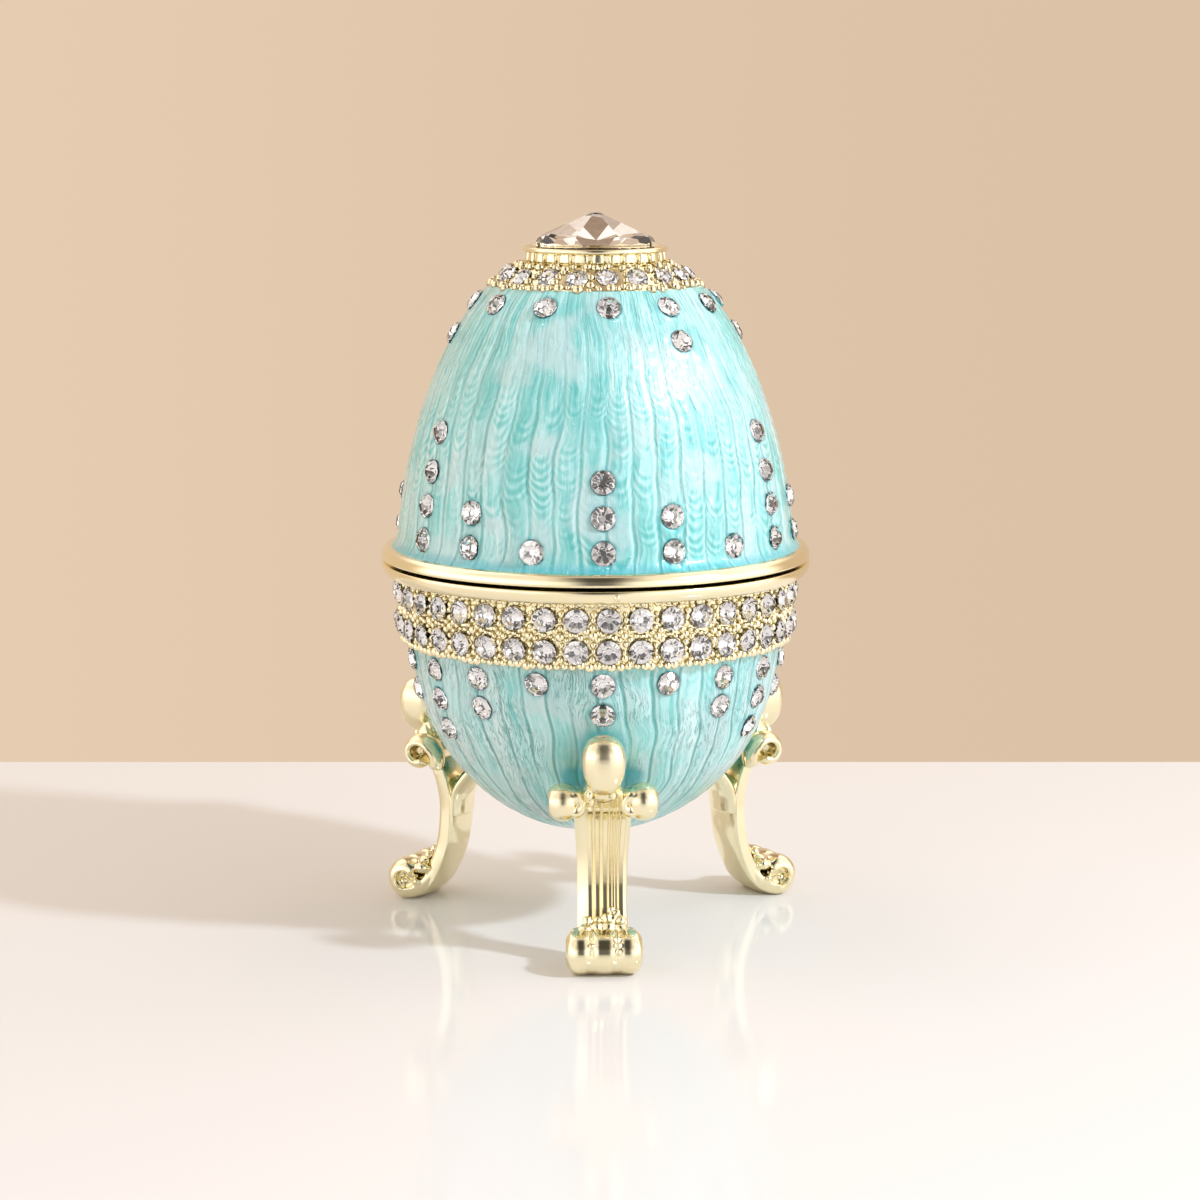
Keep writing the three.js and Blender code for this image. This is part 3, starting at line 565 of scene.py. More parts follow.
# Each grain between four stones: how far along the band and up from its middle it stands, and its size.
INNER_GRAINS = (
    ((0.0, 0.0, 0.42), (0.52, 0.38, 0.3), (-0.52, 0.38, 0.3), (0.52, -0.38, 0.3), (-0.52, -0.38, 0.3))
    + ((0.0, 0.86, 0.34), (0.0, -0.86, 0.34), (0.0, 1.5, 0.3), (0.0, -1.5, 0.3), (0.08, 2.15, 0.34))
    + ((-0.08, -2.15, 0.36), (1.06, 0.08, 0.29), (-1.06, -0.08, 0.29), (1.5, 0.0, 0.27))
    + ((0.62, 2.55, 0.26), (-0.62, 2.55, 0.26), (0.6, -2.5, 0.3), (-0.6, -2.5, 0.3))
)
grain = start_piece(
    "grain_pattern", bpy.ops.mesh.primitive_uv_sphere_add, segments=8, ring_count=6, radius=1.0
)
bpy.ops.transform.resize(value=(1, 1, GRAIN_FLATNESS))
close_piece()
for face in grain.data.polygons:
    face.use_smooth = True
# How near each point lies to the grain's root, where the collar's gilt paints shade.
root = grain.data.attributes.new("root", "FLOAT", "POINT")
for vertex in grain.data.vertices:
    root.data[vertex.index].value = min(1.0, max(0.0, GRAIN_ROOT - vertex.co.z))


def grain_place(skin, height, turn, size, stray):
    """A grain's point, normal and size, each a little off."""
    up, aside, least, most = stray
    point, normal = on_skin(skin, height + give_or_take(up), turn + give_or_take(aside))
    return point, normal, size * draw.uniform(least, most)


def band_place(height, turn, size):
    return grain_place(lambda level: base_radius(level) + GRAIN_STAND, height, turn, size, BAND_STRAY)


pitch = 2 * math.pi / BAND_STONES
between_rows = sum(band_heights) / 2
edge_rows = (
    (TOP_GRAINS, rim_foot - TOP_DROP, TOP_GRAIN),
    (FOOT_GRAINS, band_foot + FOOT_LIFT, FOOT_GRAIN),
)
grain_places = []
for turn in band_turns:
    for count, height, size in edge_rows:
        for number in range(count):
            grain_places.append(band_place(height, turn + pitch * (number + 0.5) / count, size))
    for aside, up, size in INNER_GRAINS:
        spot = turn + pitch / 2 + aside / (BASE_RADIUS + BAND_RISE)
        grain_places.append(band_place(between_rows + up, spot, size))
band_grains = set_copies("band_grains", grain, grain_places)
grain_gilt = gilt_zinc(
    "gilt_grains", patch_mm=2.0, dimple_mm=0.8, dimples=0.08, low_haze=0.16, top_haze=0.16
)
finish_piece(band_grains, grain_gilt, "base", "gilt_metal")

# Base enamel: pearl turquoise enamel flowed over the fluted lower egg and fired to a gloss.
# Flutes show as dark hair lines, and the pearl lies between them in streaks and hanging loops.
ENAMEL_THICKNESS = 0.78
BASE_FLUTES, FLUTE_WANDER, SEAM_WIDTH = 44, 0.5, 0.12
GROOVE_DEPTH, GROOVE_WIDTH, CREST_RISE = 0.13, 0.24, 0.09
LOOP_SPACING, LOOP_SAG, LOOP_RISE = 1.15, 1.1, 0.03
PEARL_SPACING, PEARL_SAG = 0.95, 1.35
MENISCUS_RISE = 0.09
POOL_SHARE, POOL_HEIGHT = 0.8, 1.3
STONE_POOL, DAM_POOL = 0.3, 1.2
FAR = 99.0
DROP_STONE_RADIUS = 1.14
BASE_DROP_ROWS = (9.5, 12.4, 15.4)
BASE_DROP_COUNTS = (2, 1, 2, 3, 2, 1) * 3
PEARL_WHITE, PEARL_PALE, PEARL_MID, PEARL_DEEP = "d6eeec", "ade0de", "84cdca", "5fbbb7"
PEARL_SILVER, LINE_TEAL, POOL_TEAL = "bfdada", "4fa19e", "3fb0bd"
# The enamel laps over the foot of the band. It has no lower edge, so its patterns run on past the bottom.
BASE_LAP, BASE_RUN_ON = 0.1, 9.0
# Where a leg touches the egg: the height, the azimuth from the leg's middle and the reach of each touch.
LEG_TOUCHES = ((20.6, 0.0, 2.3), (17.4, -0.17, 1.5), (17.4, 0.17, 1.5), (14.6, 0.0, 2.8))


def mesh_numbers(items, what):
    """One whole number of each corner or face, as an array."""
    numbers = np.empty(len(items), np.int32)
    items.foreach_get(what, numbers)
    return numbers


def flute_relief(piece, radius_at, depth_at, seats, dams, flutes, edges, loop_share):
    """Gives the enamel its flutes, loops and stone seats, and keeps where they lie for its colours."""
    points = points_of(piece)
    heights = points[:, 2]
    spread = np.hypot(points[:, 0], points[:, 1])
    azimuth = np.mod(np.arctan2(-points[:, 0], points[:, 1]), 2 * math.pi)
    outer = spread > depth_at(heights) - 1e-3
    wander = 0.0
    for share, round_scale, up_scale in ((1.0, 1.6, 0.09), (0.4, 4.0, 0.3)):
        ring = (round_scale * np.cos(azimuth), round_scale * np.sin(azimuth))
        spots = np.column_stack((*ring, up_scale * heights))
        wander = wander + share * np.array([noise.noise(spot) for spot in spots])
    seam_free = smoothstep(0.0, SEAM_WIDTH, azimuth) * smoothstep(0.0, SEAM_WIDTH, 2 * math.pi - azimuth)
    flute = azimuth / (2 * math.pi) * flutes + FLUTE_WANDER * wander * seam_free
    across = 2 * (flute - np.floor(flute)) - 1
    to_groove = (1 - np.abs(across)) * math.pi * spread / flutes
    share = np.clip((heights - edges[0]) / (edges[1] - edges[0]), 0, 1)
    fade = (1 - 0.6 * smoothstep(0.25, 0.7, share)) * (0.6 + 0.8 * smoothstep(-0.25, 0.25, wander))
    groove = fade * np.exp(-((to_groove / GROOVE_WIDTH) ** 2))
    loop = np.sin(2 * math.pi * (heights / LOOP_SPACING - LOOP_SAG * across**2 + 0.37 * np.floor(flute)))
    calm = smoothstep(0.6, 2.2, np.minimum(heights - edges[0], edges[1] - heights))
    relief = CREST_RISE * fade * (1 - across**2) - GROOVE_DEPTH * groove
    relief += LOOP_RISE * loop_share * loop * (1 - groove)
    pool = POOL_SHARE * (1 - smoothstep(0.0, POOL_HEIGHT, heights - edges[0]))
    nearest = np.full(len(points), FAR)
    for place, normal in seats:
        gap, rise = off_axis(points, place, normal)
        nearest = np.minimum(nearest, np.where(np.abs(rise) < 2.0, gap, FAR))
    near = nearest / DROP_STONE_RADIUS
    relief *= calm * smoothstep(1.0, 1.7, near)
    relief += MENISCUS_RISE * np.exp(-(((near - 1.12) / 0.14) ** 2))
    relief -= SEAT_DEPTH * (1 - smoothstep(0.66, 1.0, near))
    pool = np.maximum(pool, STONE_POOL * np.exp(-(((near - 1.05) / 0.2) ** 2)))
    for place, normal, reach in dams:
        gap, rise = off_axis(points, place, normal)
        pool = np.maximum(pool, np.where(np.abs(rise) < 4.0, DAM_POOL * np.exp(-((gap / reach) ** 4)), 0.0))
    slope = (radius_at(heights + 0.05) - radius_at(heights - 0.05)) / 0.1
    tilt = np.hypot(1, slope)
    target = radius_at(heights) + relief / tilt
    scale = np.where(outer & (spread > 1e-6), target / np.maximum(spread, 1e-6), 1.0)
    points[:, :2] *= scale[:, None]
    lifted = heights + np.where(outer, -relief * slope / tilt, 0.0)
    points[:, 2] = lifted
    move_points(piece, points)
    store = piece.data.attributes.new("pool", "FLOAT", "POINT")
    store.data.foreach_set("value", np.clip(pool, 0, 1).astype(np.float32))
    corners = mesh_numbers(piece.data.loops, "vertex_index")
    starts = mesh_numbers(piece.data.polygons, "loop_start")
    sizes = mesh_numbers(piece.data.polygons, "loop_total")
    corner_flute = flute[corners]
    top = np.repeat(np.maximum.reduceat(corner_flute, starts), sizes)
    corner_flute = np.where(top - corner_flute > flutes / 2, corner_flute + flutes, corner_flute)
    layer = piece.data.uv_layers.new(name="flutes")
    layer.data.foreach_set("uv", np.column_stack((corner_flute, lifted[corners])).astype(np.float32).ravel())


def pearl_enamel(name, pearl_share, loop_share, line_share, strand_share, streak_mm, comb_heights):
    """Pearl enamel under a clear fired gloss: mica pigment that drifted into pale streaks and loops,
    with thin darker lines where it sank into the grooves, and deep colour pooled along the edges.
    The pale lips beside the grooves and the tiny white specks on mica flakes are painted highlights."""
    steps = (
        # Where a point lies in its flute, from -1 at one groove to 1 at the next, and the flute's chance.
        ("lanes", "kept flutes"),
        ("flute", "x of", "lanes"),
        ("height", "y of", "lanes"),
        ("pool", "kept pool"),
        ("shifted", "ADD", "flute", 0.0005),
        ("number", "FLOOR", "shifted"),
        ("chance", "chance", "number"),
        ("part", "FRACT", "flute"),
        ("across", "MULTIPLY_ADD", "part", 2.0, -1.0),
        ("aside", "ABSOLUTE", "across"),
        ("upper", "ease", "height", *comb_heights),
        ("under", "SUBTRACT", 1.0, "upper"),
        # Slow clouds that every pattern drifts with.
        ("drift", "noise", "place", 1 / (2.6 * MM), 2.0, 0.55),
        ("swell", "noise", "place", 1 / (8.0 * MM), 2.0, 0.55),
        ("stillness", "noise", "place", 1 / (9.0 * MM), 1.0),
        # Loops that hang between two grooves, one under the other.
        ("square", "MULTIPLY", "across", "across"),
        ("sag", "MULTIPLY", "square", -PEARL_SAG),
        ("hung", "MULTIPLY_ADD", "height", 1 / PEARL_SPACING, "sag"),
        ("mixed", "MULTIPLY_ADD", "chance", 7.0, "hung"),
        ("drifted", "MULTIPLY_ADD", "drift", 1.2, "mixed"),
        ("phase", "MULTIPLY_ADD", "swell", 4.0, "drifted"),
        ("angle", "MULTIPLY", "phase", 2 * math.pi),
        ("wave", "SINE", "angle"),
        ("broken", "ease", "drift", 0.4, 0.6),
        ("settled", "ease", "stillness", 0.3, 0.48),
        ("faint", "MULTIPLY", "wave", "broken"),
        ("hanging", "MULTIPLY", "faint", "settled"),
        ("loops", "MULTIPLY", "hanging", "under"),
        # Streaks combed down the flutes, and the thin dark strands at their edges.
        ("waver", "MULTIPLY", "drift", 2.2),
        ("comb", "MULTIPLY_ADD", "flute", 4.5, "waver"),
        ("length", "MULTIPLY", "height", 1 / streak_mm),
        ("combed", "pair", "comb", "length"),
        ("streaks", "noise", "combed", 1.0, 5.0, 0.55),
        ("contour", "MULTIPLY", "streaks", 9.0),
        ("turns", "FRACT", "contour"),
        ("off_edge", "SUBTRACT", "turns", 0.5),
        ("edge", "ABSOLUTE", "off_edge"),
        ("thin", "ease", "edge", 0.02, 0.16, 1.0, 0.0),
        ("gathered", "ease", "swell", 0.38, 0.54),
        ("strand", "MULTIPLY", "thin", "gathered"),
        # Finer combing high up, where the loops run out.
        ("flicker", "MULTIPLY", "drift", 2.5),
        ("teeth", "MULTIPLY_ADD", "flute", 13.0, "flicker"),
        ("run", "MULTIPLY", "height", 0.3),
        ("toothed", "pair", "teeth", "run"),
        ("hairs", "noise", "toothed", 1.0, 2.0, 0.5),
        ("hair_pearl", "SUBTRACT", "hairs", 0.5),
        ("fine", "MULTIPLY", "hair_pearl", "upper"),
        ("hair_line", "ease", "hairs", 0.3, 0.42, 0.4, 0.0),
        ("fine_line", "MULTIPLY", "hair_line", "upper"),
        # Dark lines down in the grooves, which fade in and out, and painted highlights: pale lips beside
        # them.
        ("groove", "ease", "aside", 0.8, 0.96),
        ("worn", "noise", "combed", 0.59, 2.0, 0.55),
        ("kept", "ease", "worn", 0.36, 0.56, 0.25),
        ("calmed", "range", "upper", 0.0, 1.0, 1.0, 0.35),
        ("sure", "MULTIPLY", "kept", "calmed"),
        ("line", "MULTIPLY", "groove", "sure"),
        ("shoulder", "ease", "aside", 0.52, 0.76, 0.0, 0.45),
        ("bare", "ease", "aside", 0.76, 0.9, 1.0, 0.0),
        ("lit", "MULTIPLY", "shoulder", "bare"),
        ("lip_highlight", "MULTIPLY", "lit", "sure"),
        # How much pearl lies at a point, and how much dark colour sank in.
        ("drawn", "MULTIPLY_ADD", "streaks", 1.25, pearl_share - 1),
        ("swollen", "MULTIPLY_ADD", "swell", 0.75, "drawn"),
        ("varied", "MULTIPLY_ADD", "chance", 0.2, "swollen"),
        ("combed_pearl", "MULTIPLY_ADD", "fine", 0.9, "varied"),
        ("pearl", "MULTIPLY_ADD", "loops", loop_share, "combed_pearl"),
        ("stranded", "MULTIPLY_ADD", "strand", strand_share, "fine_line"),
        ("sunk", "MULTIPLY_ADD", "line", line_share, "stranded"),
        ("patches", "noise", "place", 1 / (5.0 * MM), 2.0),
        ("silver", "ease", "patches", 0.48, 0.66, 0.0, 0.75),
        # Painted glints: tiny white specks where mica flakes catch the light.
        ("mica", "noise", "place", 1 / (0.17 * MM), 0.0),
        ("flake_glint", "ease", "mica", 0.76, 0.84, 0.0, 0.6),
        ("mid", "ease", "pearl", 0.2, 0.45),
        ("pale", "ease", "pearl", 0.42, 0.64),
        ("white", "ease", "pearl", 0.62, 0.92),
        # The colours, laid one over the other, and the slight relief that the gloss follows.
        ("mid_shade", "tint", "mid", linear(PEARL_DEEP), linear(PEARL_MID)),
        ("pale_shade", "tint", "pale", "mid_shade", linear(PEARL_PALE)),
        ("white_shade", "tint", "white", "pale_shade", linear(PEARL_WHITE)),
        ("silvered", "tint", "silver", "white_shade", linear(PEARL_SILVER)),
        ("highlighted", "tint", "lip_highlight", "silvered", linear(PEARL_WHITE)),
        ("lined", "tint", "sunk", "highlighted", linear(LINE_TEAL)),
        ("pooled", "tint", "pool", "lined", linear(POOL_TEAL)),
        ("glinted", "tint", "flake_glint", "pooled", linear(PEARL_WHITE)),
        ("relief", "MULTIPLY", "pearl", 0.8),
        ("carved", "SUBTRACT", "relief", "sunk"),
        ("dips", "bump", "carved", 0.75, 0.07 * MM),
    )
    finish = {"Base Color": "glinted", "Normal": "dips", "Metallic": 0.1, "Roughness": 0.36}
    coat = {"Coat Normal": "dips", "Coat Weight": 1.0, "Coat Roughness": 0.06, "Coat IOR": 1.5}
    return new_material(name, steps, {**finish, **coat, "Specular IOR Level": 0.3})


def columns(radius_at, heights, counts, first=0.0):
    """Seats of columns of stones round the egg, as many of the heights in each as its count says."""
    turns = ring_turns(len(counts), first)
    return [
        [on_skin(radius_at, height, turn) for height in heights[:count]]
        for turn, count in zip(turns, counts)
    ]


base_drops = columns(base_radius, [PARTING - drop for drop in BASE_DROP_ROWS], BASE_DROP_COUNTS)
leg_dams = [
    (*on_skin(base_radius, height, turn + aside), reach)
    for turn in ring_turns(3)
    for height, aside, reach in LEG_TOUCHES
]
base_top, base_bottom = band_foot + BASE_LAP, PARTING - BASE_LENGTH
glaze_profile = along(base_radius, graded(base_top, base_bottom, 27)[::-1])
glaze_profile += along(base_radius, graded(base_top, base_bottom + ENAMEL_THICKNESS, 8), ENAMEL_THICKNESS)
base_glaze = turned("base_glaze", glaze_profile, 108, halvings=2)
flute_relief(
    base_glaze,
    base_radius,
    lambda level: base_radius(level, ENAMEL_THICKNESS / 2),
    sum(base_drops, []),
    leg_dams,
    BASE_FLUTES,
    (base_bottom - BASE_RUN_ON, base_top),
    loop_share=0.35,
)
smooth(base_glaze, 60)
base_pearl = pearl_enamel(
    "base_pearl_enamel",
    pearl_share=0.55,
    loop_share=0.06,
    line_share=0.8,
    strand_share=0.75,
    streak_mm=5.5,
    comb_heights=(60.0, 70.0),
)
finish_piece(base_glaze, base_pearl, "base", "enamel", "base_enamel")

# Base stones: short columns of the same chatons that hang below the band, glued into seats in the enamel.
# Each column is one piece of up to three stones.
for number, seats in enumerate(base_drops, 1):
    set_stones("base_column_%02d" % number, seats, DROP_STONE_RADIUS, "base", "base_drop_%02d" % number)

# Legs: three zinc castings, each a ribbed strap that rolls over at the toe and ends in a scroll at the top.
# The scroll has two hooked ears with a small curl beside each, and carries a smooth bud.
# A bracket behind it meets the egg. Each leg is cast whole, polished and gilt.
LEG_ROOT = float(base_radius(19.9))
SCROLL_REACH, SCROLL_HEIGHT = LEG_ROOT + 1.65, 15.6
TOE_REACH, TOE_HEIGHT = LEG_ROOT + 4.35, 2.1
TOE_RADIUS, TOE_WIDTH = 2.14, 7.3
BUD_REACH, BUD_HEIGHT = LEG_ROOT + 3.95, 19.9
BUD_RADIUS, BUD_HALF = 2.05, 2.8
STRAP_WIDTH, STRAP_THICKNESS = 5.4, 1.75
STRAP_WIDTHS = (0.55, 0.86, 1.0, 0.95, 0.88, 0.87, 0.88, 0.9, 0.9)
STRAP_FIELD = (-1.55, 2.2)
STRAP_RIBS = ((-0.92, 0.2), (-0.15, 0.2), (0.62, 0.14), (1.0, 0.09), (1.32, 0.09), (1.66, 0.11))
FIELD_CUT, RIB_STEEPNESS, BORDER_SLOPE, BORDER_ROUND, BACK_ROUND = 0.24, 1.2, 0.28, 0.2, 0.35
EAR_RINGS = ((0.0, 2.05), (0.2, 1.48), (0.55, 1.48), (1.0, 0.62))
EAR_WIDTHS = (0.7, 1.0, 1.0, 0.95, 0.8)
EAR_THICK, EAR_HALF_WIDTH, EAR_CENTRE = 0.62, 1.32, 3.85
EAR_START, EAR_SWEEP, EAR_DOME = math.radians(220), math.radians(345), 0.15
CURL_RING, CURL_THICK = 0.64, 0.47
CURL_PLACE, CURL_STRETCH = (2.6, 0.85, 0.3), (1.0, 1.7, 1.25)
SCROLL_CORE, SCROLL_CORE_RADIUS = 5.4, 1.25
BRACKET_WIDE, BRACKET_THICK, BRACKET_MEET = 2.2, 0.85, 14.7
HOOK_RING, HOOK_INSIDE = 1.45, 0.55
HOOK_WIDTHS = (0.6, 0.66, 0.8, 0.95, 1.0, 1.0, 1.0, 1.0, 0.95)
CAST_GRAIN = 0.12
# Knots left by the mould on the toe, and under the bud: the place across, back and up, and the size.
TOE_KNOTS = (
    ((-1.7, 1.7, 1.6, 0.75), (-0.6, 1.6, 1.95, 0.62), (0.5, 1.7, 1.9, 0.75), (1.6, 1.6, 1.8, 0.7))
    + ((-2.5, 1.7, 1.3, 0.7), (2.5, 1.7, 1.3, 0.7), (-1.5, 2.1, 2.5, 0.5), (0.35, 2.15, 2.75, 0.5))
    + ((1.0, 2.2, 2.65, 0.46), (1.7, 2.1, 2.5, 0.48), (0.75, 2.55, 3.4, 0.36), (1.3, 2.5, 3.15, 0.38))
    + ((-0.5, 2.2, 2.5, 0.4), (1.25, -1.75, 1.05, 0.28), (1.3, -1.95, 0.5, 0.24), (1.2, -1.3, 1.55, 0.3))
    + ((-1.25, -1.7, 1.05, 0.22), (-2.75, 0.5, 0.5, 0.55), (2.75, 0.5, 0.5, 0.55))
    + ((-2.7, -0.35, -0.3, 0.42), (2.7, -0.35, -0.3, 0.42))
    + ((-2.7, 1.15, -0.2, 0.42), (2.7, 1.15, -0.2, 0.42))
)
BUD_KNOTS = (
    ((-1.35, 0.0, -2.9, 0.42), (-1.15, 0.25, -3.6, 0.34))
    + ((-1.3, 0.7, -4.3, 0.28), (0.85, -0.05, -2.95, 0.36))
)
LEG_NAMES = {"front_leg": "leg_front", "rear_right_leg": "leg_rear_right", "rear_left_leg": "leg_rear_left"}


def smooth_path(count, *points):
    """A smooth line through (reach, height) points."""
    known = np.array([points[0], *points, points[-1]], float)
    line = []
    for start in range(len(known) - 3):
        before, first, second, after = known[start : start + 4]
        bend = 2 * before - 5 * first + 4 * second - after
        twist = 3 * first - before - 3 * second + after
        for share in np.linspace(0, 1, count, endpoint=False):
            line.append(first + ((second - before) * share + bend * share**2 + twist * share**3) / 2)
    return line + [known[-2]]


def swept(name, section, path, widths):
    """Extrudes a section of (across, out) points down a path of (reach, height) points in the leg's plane,
    with its width scaled along the way."""
    ring = {"vertices": len(section), "radius": MM, "fill_type": "NGON"}
    piece = start_piece(name, bpy.ops.mesh.primitive_circle_add, **ring)
    close_piece()
    move_points(piece, np.array([(across, -out, 0.0) for across, out in section]))
    open_piece()
    steps = np.diff(np.array(path), axis=0)
    ways = list(np.unwrap([math.atan2(reach, -height) for reach, height in steps]))
    angles = [ways[0], *[(way + after) / 2 for way, after in zip(ways, ways[1:])], ways[-1]]
    place = Vector((0, -path[0][0], path[0][1])) * MM
    bpy.ops.transform.translate(value=place)
    bpy.ops.transform.rotate(value=angles[0], orient_axis="X", center_override=place)
    scales = np.interp(np.linspace(0, 1, len(path)), np.linspace(0, 1, len(widths)), widths)
    bpy.ops.transform.resize(value=(scales[0], 1, 1), center_override=place)
    for (reach, height), turn, grow in zip(steps, np.diff(angles), scales[1:] / scales[:-1]):
        step = Vector((0, -reach, height)) * MM
        place = place + step
        bpy.ops.mesh.extrude_region_move(TRANSFORM_OT_translate={"value": step})
        bpy.ops.transform.rotate(value=turn, orient_axis="X", center_override=place)
        bpy.ops.transform.resize(value=(grow, 1, 1), center_override=place)
    weld(0.0005, fill=True)
    return piece


def across_leg(name, profile, reach, height):
    """A turned piece that lies across the leg."""
    piece = turned(name, profile, 32)
    place = Matrix.Translation(Vector((0, -reach, height)) * MM)
    piece.data.transform(place @ Matrix.Rotation(math.pi / 2, 4, "Y"))
    return piece


def oval(wide, thick):
    """A section of (across, out) points."""
    return [(wide * math.cos(turn), thick * math.sin(turn)) for turn in ring_turns(20)]


def strap_section():
    """A bar with a sloped border at each side and a flat sunk field between, crossed by uneven ribs."""
    half = STRAP_WIDTH / 2
    left, right = STRAP_FIELD
    front = []
    for across in np.linspace(-half, half, 161):
        past = max(left - across, across - right)
        if past > 0:
            out = past / (half - (abs(left) if across < 0 else right))
            rise = -BORDER_SLOPE * out - BORDER_ROUND * out**3
        else:
            rise = -FIELD_CUT
            for spot, size in STRAP_RIBS:
                rib = min(FIELD_CUT, RIB_STEEPNESS * size) * (1 - ((across - spot) / size) ** 2)
                rise = max(rise, rib - FIELD_CUT)
        front.append((across, STRAP_THICKNESS / 2 + rise))
    return front + arc(0.0, BACK_ROUND - STRAP_THICKNESS / 2, half, -BACK_ROUND, 0, 180, 15)


def ear(side):
    """One end of the scroll: a flat bar that leaves the strap, hooks over the top and tucks in below."""
    hook = []
    for share in np.linspace(0, 1, 36):
        turn = EAR_START - EAR_SWEEP * share
        ring = np.interp(share, *zip(*EAR_RINGS))
        hook.append((SCROLL_REACH + ring * math.cos(turn), SCROLL_HEIGHT + ring * math.sin(turn)))
    piece = swept("ear", oval(EAR_HALF_WIDTH, EAR_THICK), hook, EAR_WIDTHS)
    points = points_of(piece)
    domed = 1 - EAR_DOME * np.clip(side * points[:, 0] / EAR_HALF_WIDTH, 0, 1) ** 2
    middle = np.array((-SCROLL_REACH, SCROLL_HEIGHT))
    points[:, 1:] = middle + (points[:, 1:] - middle) * domed[:, None]
    move_points(piece, points + np.array((side * EAR_CENTRE, 0, 0)))
    return piece


def curl(side):
    """The small ring-shaped curl where the strap's border turns out to an ear, with its eye to the front."""
    piece = turned("curl", arc(CURL_RING, 0.0, CURL_THICK, CURL_THICK, 0, 360, 13), 28)
    aside, out, up = CURL_PLACE
    place = Vector((side * aside, -SCROLL_REACH - out, SCROLL_HEIGHT + up)) * MM
    facing = Matrix.Diagonal((*CURL_STRETCH, 1)) @ Matrix.Rotation(math.pi / 2, 4, "X")
    piece.data.transform(Matrix.Translation(place) @ facing)
    return piece


def lump(name, place, size, fullness=0.0, squareness=2.0):
    """A rounded lump of the casting, fuller at the top and flatter on its four sides if asked."""
    piece = start_piece(name, bpy.ops.mesh.primitive_uv_sphere_add, segments=28, ring_count=18, radius=1.0)
    bpy.ops.transform.resize(value=Vector(size))
    close_piece()
    points = points_of(piece) * MM
    flat = np.abs(points[:, :2]) / np.array(size[:2]) + 1e-9
    squared = np.hypot(flat[:, 0], flat[:, 1]) / (flat**squareness).sum(axis=1) ** (1 / squareness)
    rise = np.clip(np.abs(points[:, 2]) / size[2], 0, 0.999)
    bluntness = 1 + squareness / 2
    blunt = (1 - rise**bluntness) ** (1 / bluntness) / np.sqrt(1 - rise**2)
    points[:, :2] *= (squared * blunt * (1 + fullness * points[:, 2] / size[2]))[:, None]
    move_points(piece, points + np.array(place))
    return piece


def hooked_toe():
    """The rolled end of the strap: three rounds side by side that run under the toe, up and over."""
    spots = np.linspace(-TOE_WIDTH / 2, TOE_WIDTH / 2, 61)
    phase = np.mod((spots + TOE_WIDTH / 2) / (TOE_WIDTH / 3), 1.0) * 2 - 1
    ends = np.clip((TOE_WIDTH / 2 - np.abs(spots)) / 1.4, 0, 1)
    rounds = (TOE_RADIUS - 0.5 * np.abs(phase) ** 5) * (0.6 + 0.4 * np.sqrt(1 - (1 - ends) ** 2))
    section = list(zip(spots[::-1], HOOK_RING - rounds[::-1]))
    section += [(across, HOOK_INSIDE) for across in np.linspace(-0.49, 0.49, 15) * TOE_WIDTH]
    hook = smooth_path(
        6,
        (LEG_ROOT + 0.75, 4.6),
        (LEG_ROOT + 1.6, 2.75),
        (LEG_ROOT + 2.75, 1.3),
        (TOE_REACH - 0.1, TOE_HEIGHT - HOOK_RING),
        (TOE_REACH + 1.0, TOE_HEIGHT - 1.02),
        (TOE_REACH + HOOK_RING, TOE_HEIGHT + 0.1),
        (TOE_REACH + 0.95, TOE_HEIGHT + 1.1),
        (TOE_REACH - 0.1, TOE_HEIGHT + HOOK_RING),
        (TOE_REACH - 1.0, TOE_HEIGHT + 0.95),
    )
    return swept("toe", section, hook, HOOK_WIDTHS)


